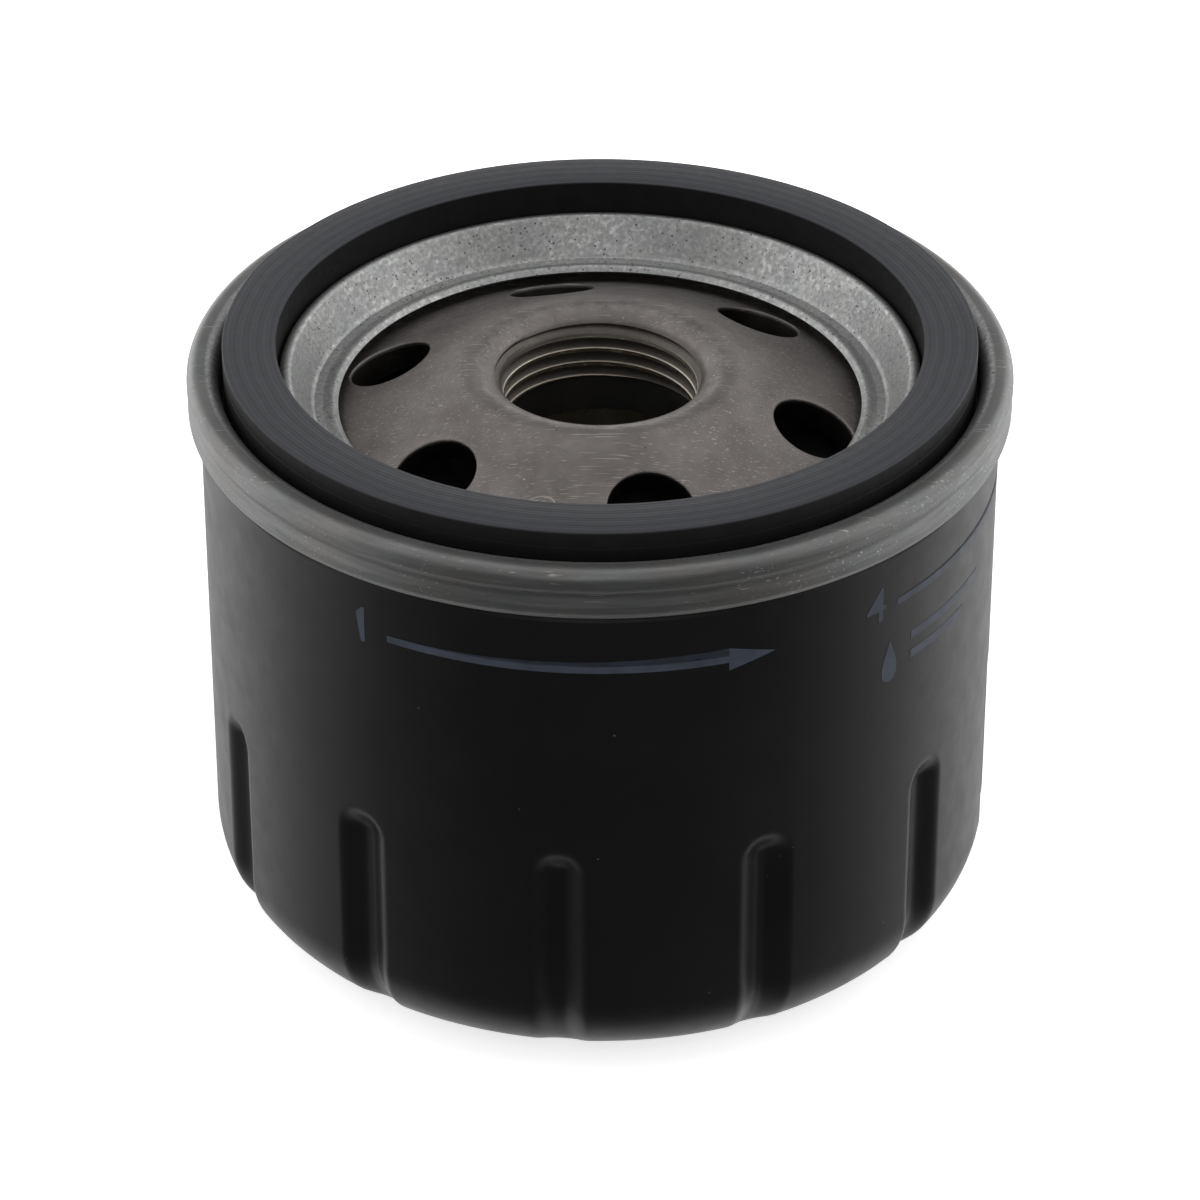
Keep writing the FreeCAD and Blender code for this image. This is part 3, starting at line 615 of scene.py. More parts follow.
@dataclass(frozen=True)
class Zinc:
    """Zinc-plated pressed sheet: bright fine spangle, scuffed dull where the seam was rolled."""

    bright: str = "#c8c9c7"
    dull: str = "#9c9d9b"
    cloud: str = "#8f9294"
    pit_floor: str = "#404243"
    rolled: str = "#6f7070"
    streaked: str = "#808181"
    browned: str = "#7d766e"
    scratched: str = "#c9c8c4"
    seam_start: float = 37.2

    def build(self) -> bpy.types.Material:
        """Makes the material.

        Returns:
            The lid's zinc.
        """
        f = Finish("zinc_plated_sheet")
        spangle = f.cells(0.32, "Color")
        grain = f.maths("MULTIPLY", f.ramp(spangle, 0.1, 0.9), f.ramp(f.noise(0.5, 4.0), 0.3, 0.7))
        pit = f.ramp(f.cells(0.5), 0.14, 0.28, 1.0, 0.0)
        pitted = f.maths("MULTIPLY", pit, f.ramp(f.noise(1.4, 3.0), 0.44, 0.58))
        plated = f.blend(grain, self.dull, self.bright)
        plated = f.blend(f.ramp(f.noise(5.0, 4.0), 0.4, 0.7, 0.0, 0.35), plated, self.cloud)
        plated = f.blend(f.maths("MULTIPLY", pitted, 0.85), plated, self.pit_floor)
        drawn_out = add(f.tree, "ShaderNodeMapping", {
            "Vector": f.spot, "Scale": (0.07, 0.07, 1.0)}).outputs[0]
        streak = f.ramp(f.noise(0.35, 4.0, drawn_out), 0.3, 0.7)
        worn = f.blend(streak, self.rolled, self.streaked)
        worn = f.blend(f.ramp(f.noise(7.0, 4.0), 0.45, 0.7, 0.0, 0.35), worn, self.browned)
        scuff = f.maths("MULTIPLY", f.scratches(2.5, 0.05, 8.0, 0.68),
                        f.ramp(f.noise(4.0, 2.0), 0.45, 0.6))
        worn = f.blend(f.maths("MULTIPLY", scuff, 0.6), worn, self.scratched)
        seam = f.ramp(f.radius(), self.seam_start, self.seam_start + 0.3)
        f.feed("Base Color", f.blend(seam, plated, worn))
        f.feed("Metallic", 1.0)
        rough = f.ramp(grain, 0.0, 1.0, 0.52, 0.36)
        f.feed("Roughness", f.maths("MAXIMUM", rough, f.maths("MULTIPLY", seam, 0.5)))
        flakes = f.bump(spangle, 0.01)
        f.feed("Normal", f.bump(f.noise(0.18, 3.0), 0.012, 1.0, flakes))
        return f.material


@dataclass(frozen=True)
class PlateSteel:
    """Hot-rolled steel, pressed and tapped: warm grey satin skin, bright where cut; a lighter ring on the crown that
    is partly wear and partly painted highlight, and painted shade in the bore, on the oil holes' walls and
    underneath.
    """

    skin: str = "#86817e"
    shade: str = "#6e6967"
    cut: str = "#c9c0b4"
    scratched: str = "#b9b3ad"
    stamped: str = "#b2aca6"
    fleck: str = "#c9c4bd"
    stain: str = "#3a3634"
    wear_and_highlight: str = "#aeaaa8"
    bore_shade: str = "#5c5752"
    hole_wall_shade: str = "#2b2826"
    thread_crest: float = 9.188
    thread_root: float = 9.9
    apex: float = 60.935
    fall: float = 0.41135
    wear_and_highlight_start: float = 10.8
    wear_and_highlight_end: float = 13.0
    stamp_spot: Point = (-5.5, -20.3)
    stamp_size: Point = (1.4, 1.0)

    def stamp(self, f: Finish) -> bpy.types.NodeSocket:
        """A small oval ring struck into the skin between two of the holes.

        Args:
            f: the material in the making.

        Returns:
            1 on the ring, 0 off it.
        """
        x, y = self.stamp_spot
        wide, deep = self.stamp_size
        squeezed = add(f.tree, "ShaderNodeMapping", {
            "Vector": f.spot, "Location": (-x / wide, -y / deep, 0.0),
            "Scale": (1000 / wide, 1000 / deep, 0.0)}).outputs[0]
        across = add(f.tree, "ShaderNodeVectorMath", {0: squeezed},
                     operation="LENGTH").outputs["Value"]
        return f.maths("MULTIPLY", f.ramp(across, 0.86, 0.93), f.ramp(across, 1.0, 1.07, 1.0, 0.0))

    def build(self) -> bpy.types.Material:
        """Makes the material.

        Returns:
            The plate's steel.
        """
        f = Finish("pressed_plate_steel")
        r = f.radius()
        tone = f.blend(f.ramp(f.noise(5.0, 6.0, roughness=0.65), 0.3, 0.7), self.shade, self.skin)
        lines = f.maths("MAXIMUM", f.scratches(2.4, 0.04, 35.0, 0.69),
                        f.scratches(1.8, 0.04, -48.0, 0.69))
        lines = f.maths("MAXIMUM", lines, f.scratches(1.4, 0.04, 80.0, 0.7))
        speck = f.maths("MULTIPLY", f.ramp(f.cells(1.1), 0.05, 0.09, 1.0, 0.0),
                        f.ramp(f.noise(3.0, 2.0), 0.5, 0.6))
        dark = f.maths("MULTIPLY", f.ramp(f.cells(0.9), 0.06, 0.12, 1.0, 0.0),
                       f.ramp(f.noise(2.2, 2.0), 0.36, 0.46, 1.0, 0.0))
        # Lighter ring round the top of the crown, broken up by noise: partly rubbed wear, partly a painted highlight
        # where the crown's rounding faces up to the light.
        ring = f.maths("MULTIPLY", f.ramp(r, self.wear_and_highlight_start, self.wear_and_highlight_start + 0.8),
                       f.ramp(r, self.wear_and_highlight_end - 1.4, self.wear_and_highlight_end, 1.0, 0.0))
        worn = f.maths("MULTIPLY", ring, f.ramp(f.noise(1.1, 6.0, roughness=0.7), 0.38, 0.66))
        crest = f.ramp(r, self.thread_crest + 0.02, self.thread_crest + 0.16, 1.0, 0.0)
        # Painted shade inside the threaded bore: darkest on the bore's wall, fading out just past the thread's root.
        groove = f.ramp(r, self.thread_root, self.thread_root + 0.3, 1.0, 0.0)
        slope = f.maths("MULTIPLY_ADD", r, self.fall, f.height())
        depth = f.maths("SUBTRACT", self.apex, slope)
        # Painted shade on the oil holes' walls and under the plate: dark wherever the surface lies below the cone's
        # top skin.
        on_cone = f.ramp(r, 14.5, 15.0)
        hole_wall_shade_mask = f.maths("MULTIPLY", on_cone, f.ramp(depth, 0.12, 0.5))
        colour = f.blend(f.maths("MULTIPLY", lines, 0.6), tone, self.scratched)
        colour = f.blend(f.maths("MULTIPLY", self.stamp(f), 0.6), colour, self.stamped)
        colour = f.blend(speck, colour, self.fleck)
        colour = f.blend(dark, colour, self.stain)
        # Painted highlight, partly wear, on the crown's ring.
        colour = f.blend(f.maths("MULTIPLY", worn, 0.45), colour, self.wear_and_highlight)
        # Painted shade in the bore.
        colour = f.blend(f.maths("MULTIPLY", groove, 0.75), colour, self.bore_shade)
        colour = f.blend(crest, colour, self.cut)
        # Painted shade on the hole walls and the underside.
        f.feed("Base Color", f.blend(hole_wall_shade_mask, colour, self.hole_wall_shade))
        f.feed("Metallic", 1.0)
        rough = f.ramp(f.noise(0.8, 5.0), 0.2, 0.8, 0.44, 0.6)
        rough = f.maths("SUBTRACT", rough, f.maths("MULTIPLY", worn, 0.1))
        f.feed("Roughness", f.maths("SUBTRACT", rough, f.maths("MULTIPLY", crest, 0.2)))
        grain = f.bump(f.noise(0.35, 4.0, roughness=0.7), 0.02)
        scored = f.bump(f.maths("MAXIMUM", lines, self.stamp(f)), 0.015, 1.0, grain)
        f.feed("Normal", scored)
        return f.material


@dataclass(frozen=True)
class CutRubber:
    """Nitrile rubber ring parted off on a lathe: near black, its top face finely lined and painted lighter grey as a
    sheen from above.
    """

    colour: str = "#101011"
    mottle: str = "#161617"
    sheen_top_face: str = "#37383c"
    sheen_top_line: str = "#444549"
    line_pitch: float = 0.42
    face_height: float = 58.8

    def build(self) -> bpy.types.Material:
        """Makes the material.

        Returns:
            The gasket's rubber.
        """
        f = Finish("cut_nitrile_rubber")
        r = f.radius()
        wander = f.maths("MULTIPLY", f.noise(9.0, 2.0), 0.5)
        phase = f.maths("MULTIPLY", f.maths("ADD", r, wander), 2 * math.pi / self.line_pitch)
        wave = f.maths("ADD", f.maths("SINE", phase),
                       f.maths("SINE", f.maths("MULTIPLY", phase, 0.371)))
        # The top face: its lathe lines are real; its lighter grey is a painted sheen.
        face = f.ramp(f.height(), self.face_height - 0.2, self.face_height - 0.02)
        lined = f.maths("MULTIPLY", f.ramp(wave, -2.0, 2.0), face)
        base = f.blend(f.ramp(f.noise(1.5, 5.0), 0.3, 0.7), self.colour, self.mottle)
        # Painted sheen: the top is a lighter copy of the rubber.
        top_face = f.blend(f.ramp(wave, -2.0, 2.0), self.sheen_top_face, self.sheen_top_line)
        f.feed("Base Color", f.blend(face, base, top_face))
        f.feed("Roughness", f.ramp(f.noise(0.9, 4.0), 0.2, 0.8, 0.5, 0.66))
        f.feed("Specular IOR Level", 0.2)
        grain = f.bump(f.noise(0.3, 3.0), 0.008)
        f.feed("Normal", f.bump(lined, 0.02, 1.0, grain))
        return f.material


@dataclass(frozen=True)
class PlainFinish:
    """A finish of one kind of stuff: two close tones in blotches, and a fine grain.

    The light falls off it softly; metallic ones mirror their surroundings as a blur.
    """

    name: str
    low: str
    high: str
    blotch: float
    grain: float
    grain_depth: float
    rough_low: float
    rough_high: float
    metallic: float = 0.0
    specular: float = 0.5

    def build(self) -> bpy.types.Material:
        """Makes the material.

        Returns:
            The material.
        """
        f = Finish(self.name)
        f.feed("Base Color", f.blend(f.ramp(f.noise(self.blotch, 5.0), 0.3, 0.7), self.low, self.high))
        f.feed("Roughness", f.ramp(f.noise(self.blotch / 3, 4.0), 0.25, 0.75,
                                   self.rough_low, self.rough_high))
        f.feed("Metallic", self.metallic)
        f.feed("Specular IOR Level", self.specular)
        f.feed("Normal", f.bump(f.noise(self.grain, 3.0), self.grain_depth))
        return f.material


# Screen-printed ink: slate grey, dries a touch glossier than the enamel under it.
INK = PlainFinish("slate_print_ink", "#2b3039", "#343a45", 2.0, 0.2, 0.003, 0.42, 0.55, 0.0, 0.2)
# Moulded nitrile: matt black with a slight bloom.
MEMBRANE = PlainFinish("moulded_nitrile", "#161515", "#242221", 4.0, 0.4, 0.01, 0.5, 0.65)
# Electrolytic tinplate: bright, faintly streaked from rolling.
TINPLATE = PlainFinish("tinplate", "#a8a9a6", "#c6c6c2", 3.0, 0.25, 0.004, 0.26, 0.4, 1.0)
# Phenolic-treated cellulose paper: tan and fibrous.
PAPER = PlainFinish("phenolic_paper", "#b98a45", "#cfa25c", 1.2, 0.15, 0.03, 0.75, 0.9)
# Cured plastisol: oxide red, soft gloss where it levelled.
PLASTISOL = PlainFinish("cured_plastisol", "#7c2a1d", "#913323", 3.0, 0.8, 0.01, 0.35, 0.5)
# Drawn and oil-tempered spring wire: dark grey with a dull shine.
SPRING_WIRE = PlainFinish("oil_tempered_wire", "#55555a", "#77767a", 2.0, 0.12, 0.006, 0.3, 0.45, 1.0)
# Water-based seam compound: grey and waxy.
COMPOUND = PlainFinish("seam_compound", "#4a4a48", "#5c5c58", 1.0, 0.3, 0.01, 0.55, 0.7)


# ------------------------------------------------------------------------------ pieces


def attach(piece: bpy.types.Object, body: Body, slot: str, *nodes: str) -> bpy.types.Object:
    """Puts a piece on the body that it rides on, and hides the CAD nodes that it stands for.

    Args:
        piece: the piece.
        body: the body it moves with.
        slot: the record's material slot that it belongs to; not used.
        nodes: CAD nodes that it replaces.

    Returns:
        The same piece.
    """
    if nodes:
        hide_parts(*nodes)
    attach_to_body(piece, body.value)
    log.info("%s: %d faces on %s", piece.name, len(piece.data.polygons), body.value)
    return piece


def dress(piece: bpy.types.Object, material: bpy.types.Material) -> bpy.types.Object:
    """Gives a piece one material.

    Args:
        piece: the piece, or a CAD node.
        material: its material.

    Returns:
        The same piece.
    """
    piece.data.materials.clear()
    piece.data.materials.append(material)
    return piece


def joined(piece: bpy.types.Object, other: bpy.types.Object, crease: float) -> bpy.types.Object:
    """Adds another object's mesh to a piece and welds them where they meet.

    Args:
        piece: the piece that stays.
        other: the object that is used up.
        crease: sharpest bend that is still shaded smooth, in degrees.

    Returns:
        The piece.
    """
    work = bmesh.new()
    work.from_mesh(piece.data)
    work.from_mesh(other.data)
    bmesh.ops.remove_doubles(work, verts=work.verts, dist=WELD)
    work.to_mesh(piece.data)
    work.free()
    bpy.data.objects.remove(other)
    tidy(piece.data, crease)
    return piece


@dataclass
class Can:
    """The deep-drawn body with its pressed wrench flutes, open at the top under the seam.

    Its skin runs from the middle of the closed end, round the corner and up the wall.
    """

    repeat: bpy.types.NodeTree
    wall: float = 0.45
    radius: float = 38.0
    corner: float = 8.15
    dish: float = 12.2
    contact: float = 14.0
    neck: float = 51.375
    neck_radius: float = 37.55
    edge_radius: float = 38.15
    flutes: int = 12
    flute_width: float = 4.85
    flute_depth: float = 1.3
    flute_middle: float = -5.9
    flute_end: float = 22.7
    flute_slope: float = 3.0
    side_slope: float = 2.6
    flat_end: float = 32.5
    row: float = 4.0
    slope_rows: int = 12
    slope_margin: float = 0.3
    enamel: Enamel = Enamel()

    def skin(self) -> list[Point]:
        """The outer skin's section, from the middle of the closed end to the hooked edge.

        Returns:
            The points of the open outline.
        """
        lift, rim = self.wall + 0.15, top("can")
        return rounded([(0, lift), (self.dish, lift, 1.2), (self.contact, 0, 1.2),
                        (self.radius, 0, self.corner), (self.radius, self.neck - 0.675, 0.45),
                        (self.neck_radius, self.neck, 0.45), (self.neck_radius, rim - 0.45, 0.24),
                        (self.edge_radius, rim - 0.45, 0.24), (self.edge_radius, rim - 3.3)], 6.0)

    def columns(self) -> list[float]:
        """Places columns across one flute's share, close together on its sides.

        Returns:
            Angles from the flute's middle, in degrees.
        """
        share = 180 / self.flutes
        edge = self.foot_half()
        half = [0.0, edge * 0.5]
        half += [edge + self.side_slope * k / 14 for k in range(0, 16)]
        degrees = [math.degrees(t / self.radius) for t in half]
        gap = share - degrees[-1]
        degrees += [degrees[-1] + gap * k / 6 for k in range(1, 7)]
        return [-d for d in degrees[:0:-1]] + degrees

    def foot_half(self) -> float:
        """Half the width of a flute's flat floor."""
        return self.flute_width / 2 + 0.4 - self.side_slope

    def pressed(self, angle: float, r: float, z: float) -> float:
        """How far the skin is pressed in at a place.

        Args:
            angle: degrees from the flute's middle.
            r: radius, in millimetres.
            z: height, in millimetres.

        Returns:
            0 off the flute, 1 on its floor.
        """
        across = abs(math.radians(angle)) * self.radius
        side = (across - self.foot_half()) / self.side_slope
        over = (z - self.flute_end) / self.flute_slope
        away = math.hypot(max(side, 0.0), max(over, 0.0))
        return (1 - smoothstep(0.0, 1.0, away)) * smoothstep(self.flat_end, self.radius, r)

    def build(self) -> bpy.types.Object:
        """Makes one flute's share of the can and repeats it round the axis.

        Returns:
            The can.
        """
        outer = self.finer(divided(self.skin(), self.row))
        loop = outer + beside(outer, self.wall)[::-1]
        rows = []
        for r, z in loop:
            row = []
            for angle in self.columns():
                press = self.flute_depth * self.pressed(angle, r, z)
                row.append(place(max(r - press, 0.0), angle + self.flute_middle, z))
            rows.append(row)
        sector = Skin()
        sector.strip(rows, around=False)
        piece = make("can_body", sector.points, sector.faces)
        bake(piece, self.repeat, {"Count": self.flutes, "Step": 2 * math.pi / self.flutes,
                                  "Weld": WELD, "Material": self.enamel.build()}, 40.0)
        return attach(piece, Body.HOUSING, "can_paint", "can")

    def finer(self, path: list[Point]) -> list[Point]:
        """Adds rows where the flutes end, so that their top slope is smooth.

        Args:
            path: the skin's section.

        Returns:
            The section with the rows added.
        """
        low = self.flute_end - self.slope_margin
        high = self.flute_end + self.flute_slope + self.slope_margin
        levels = [low + (high - low) * k / self.slope_rows for k in range(self.slope_rows + 1)]
        out = [path[0]]
        for a, b in zip(path, path[1:]):
            if abs(a[0] - b[0]) < 1e-6 and b[1] > a[1] + 1:
                out += [(b[0], z) for z in levels if a[1] < z < b[1]]
            out.append(b)
        return out


class Digit(Enum):
    """The step numbers in the order that they stand round the can."""

    ONE = "1"
    FOUR = "4"
    THREE = "3"
    TWO = "2"


@dataclass
class PrintedBand:
    """Screen-printed fitting marks: four numbered steps joined by arrows, and an oil drop."""

    repeat: bpy.types.NodeTree
    radius: float = 38.0
    film: float = 0.02
    top_z: float = 48.3
    digit_height: float = 3.75
    first: float = -34.6
    turn: float = 76.3
    arrow_start: float = -30.5
    arrow_end: float = 24.7
    arrow_line: float = 45.75
    shaft: float = 0.72
    head_width: float = 2.4
    head_length: float = 4.55
    drop_at: float = 49.2
    drop_half: Point = (1.45, 2.3)
    drop_points: int = 40
    bars: tuple[Point, ...] = ((5.2, 13.0), (5.2, 9.5))
    bar_step: float = 2.1
    bar_width: float = 0.9

    def wrapped(self, name: str, flat: bmesh.types.BMesh, angle: float) -> bpy.types.Object:
        """Bends a flat outline round the can as a thin film.

        Args:
            name: the piece's name.
            flat: faces in the plane, x along the wall and y up it, in millimetres.
            angle: where x = 0 goes, in degrees from the front.

        Returns:
            The piece.
        """
        bmesh.ops.triangulate(flat, faces=flat.faces)
        for _ in range(6):
            long_edges = [e for e in flat.edges
                          if abs(e.verts[0].co.x - e.verts[1].co.x) > 1.2]
            if not long_edges:
                break
            bmesh.ops.subdivide_edges(flat, edges=long_edges, cuts=1)
            bmesh.ops.triangulate(flat, faces=flat.faces)
        face_list = list(flat.faces)
        raised = bmesh.ops.extrude_face_region(flat, geom=face_list)["geom"]
        tops = {v for v in raised if isinstance(v, bmesh.types.BMVert)}
        for vert in flat.verts:
            r = self.radius + (self.film if vert in tops else -self.film / 2)
            around = angle + math.degrees(vert.co.x / self.radius)
            vert.co = Vector(place(r, around, vert.co.y)) * MM
        mesh = bpy.data.meshes.new(name)
        flat.to_mesh(mesh)
        flat.free()
        tidy(mesh)
        piece = bpy.data.objects.new(name, mesh)
        bpy.context.scene.collection.objects.link(piece)
        return piece

    def outline(self, points: Sequence[Point]) -> bmesh.types.BMesh:
        """Makes a flat face with an outline.

        Args:
            points: its corners, in millimetres.

        Returns:
            A mesh that holds the face.
        """
        flat = bmesh.new()
        flat.faces.new([flat.verts.new((x, y, 0)) for x, y in points])
        return flat

    def digit(self, which: Digit, angle: float) -> bpy.types.Object:
        """One step number, between two of the arrows.

        Args:
            which: the number.
            angle: its middle, in degrees from the front.

        Returns:
            The piece.
        """
        base = self.top_z - self.digit_height
        if which is Digit.ONE:
            stroke = [(-0.2, 0), (0.24, 0), (0.24, 3.7), (-0.02, 3.7), (-0.72, 3.0), (-0.6, 2.68),
                      (-0.2, 3.0)]
            return self.wrapped("printed_one", self.outline([(x, y + base) for x, y in stroke]),
                                angle)
        letter = bpy.data.curves.new(f"digit_{which.name.lower()}", "FONT")
        letter.body = which.value
        letter.size = self.digit_height / 0.72
        letter.align_x = "CENTER"
        letter.offset = 0.02
        stand_in = bpy.data.objects.new(letter.name, letter)
        bpy.context.scene.collection.objects.link(stand_in)
        graph = bpy.context.evaluated_depsgraph_get()
        mesh = bpy.data.meshes.new_from_object(stand_in.evaluated_get(graph))
        bpy.data.objects.remove(stand_in)
        flat = bmesh.new()
        flat.from_mesh(mesh)
        bmesh.ops.remove_doubles(flat, verts=flat.verts, dist=1e-4)
        low = min(v.co.y for v in flat.verts)
        for vert in flat.verts:
            vert.co.y += base - low
        return self.wrapped(f"printed_{which.name.lower()}", flat, angle)

    def arrow(self) -> bpy.types.Object:
        """The arrow from one step to the next, to be repeated round the can.

        Returns:
            The piece.
        """
        length = math.radians(self.arrow_end - self.arrow_start) * self.radius
        half, wide = self.shaft / 2, self.head_width / 2
        neck = length - self.head_length
        line = self.arrow_line
        shape = [(0, line - half), (neck, line - half), (neck, line - wide), (length, line),
                 (neck, line + wide), (neck, line + half), (0, line + half)]
        return self.wrapped("printed_arrows", self.outline(shape), self.arrow_start)

    def drop(self) -> bpy.types.Object:
        """An oil drop beside the steps, with bars for the amount.

        Returns:
            The piece.
        """
        points = []
        wide, tall = self.drop_half
        for k in range(self.drop_points):
            turn = 2 * math.pi * k / self.drop_points
            swell = math.sin(turn / 2) ** 1.6
            points.append((wide * math.sin(turn) * swell, tall * math.cos(turn)))
        flat = self.outline([(x + 2.2, y + self.top_z - 8.6) for x, y in points])
        for row, (start, length) in enumerate(self.bars):
            level = self.top_z - 7.6 - self.bar_step * row
            corners = [(start, level), (start + length, level),
                       (start + length, level + self.bar_width), (start, level + self.bar_width)]
            flat.faces.new([flat.verts.new((x, y, 0)) for x, y in corners])
        return self.wrapped("printed_oil_drop", flat, self.drop_at - 8.0)

    def build(self) -> list[bpy.types.Object]:
        """Prints the marks.

        Returns:
            The pieces.
        """
        ink = INK.build()
        pieces = [dress(self.digit(d, self.first + self.turn * k), ink)
                  for k, d in enumerate(Digit)]
        arrows = bake(self.arrow(), self.repeat, {
            "Count": len(Digit), "Step": math.radians(self.turn), "Weld": DOUBLE, "Material": ink})
        pieces += [arrows, dress(self.drop(), ink)]
        return [attach(p, Body.HOUSING, "can_paint") for p in pieces]


@dataclass
class SeamingLid:
    """The pressed ring that holds the gasket's groove and is rolled over the can's edge."""

    sheet: float = 0.5
    lip: Point = (24.9, 51.85)
    lip_bead: Point = (25.5, 52.4)
    valley: Point = (26.35, 51.95)
    funnel_foot: Point = (27.3, 52.1)
    funnel_peak: Point = (30.42, 57.6)
    groove: float = 51.8
    groove_edge: float = 36.05
    seam_inside: float = 36.15
    seam_height: float = 5.0
    hem: float = 37.6
    sides: int = 300
    zinc: Zinc = Zinc()

    def build(self) -> bpy.types.Object:
        """Turns the lid's section: inner lip, groove, and the double roll of the seam.

        Returns:
            The ring.
        """
        rim = reach("seaming_lid")
        crown = top("seaming_lid")
        low, floor = crown - self.seam_height, self.groove
        lid = [self.lip, (*self.lip_bead, 0.55), (*self.valley, 1.4), (*self.funnel_foot, 1.1),
               (*self.funnel_peak, 0.65), (self.funnel_peak[0], floor, 0.4),
               (self.groove_edge, floor, 0.4)]
        seam = [(self.seam_inside, crown, 1.3), (rim, crown, 1.15), (rim, crown - 1.8, 0.6),
                (rim - 0.4, crown - 2.5, 0.8), (rim - 0.03, crown - 3.6, 0.8),
                (rim - 0.05, low + 0.75, 0.6), (rim - 0.4, low, 0.6), (self.hem, low, 0.713),
                (self.hem, crown - 1.55)]
        piece = spin("seaming_ring", sheet_loop(lid + seam, -self.sheet, 11.0), self.sides, 50.0)
        return attach(dress(piece, self.zinc.build()), Body.HOUSING, "zinc_sheet", "seaming_lid")


@dataclass
class Gasket:
    """The square-cut sealing ring, with the mould's parting line on its outer wall."""

    inside: float = 30.64
    edge: float = 0.1
    bevel: float = 0.25
    parting_drop: float = 1.65
    parting_depth: float = 0.04
    parting_half: float = 0.05

    def build(self) -> bpy.types.Object:
        """Turns the ring's section.

        Returns:
            The gasket.
        """
        outside, inside = reach("gasket"), self.inside
        low, high = foot("gasket"), top("gasket")
        line = high - self.parting_drop
        corners = [(inside + self.bevel, low), (outside - self.bevel, low),
                   (outside, low + self.bevel), (outside, line - self.parting_half),
                   (outside - self.parting_depth, line), (outside, line + self.parting_half),
                   (outside, high, self.edge), (inside, high, self.edge),
                   (inside, low + self.bevel)]
        piece = spin("sealing_gasket", rounded(corners, 30.0), 300)
        rubber = CutRubber(face_height=high)
        return attach(dress(piece, rubber.build()), Body.HOUSING, "gasket_rubber", "gasket")


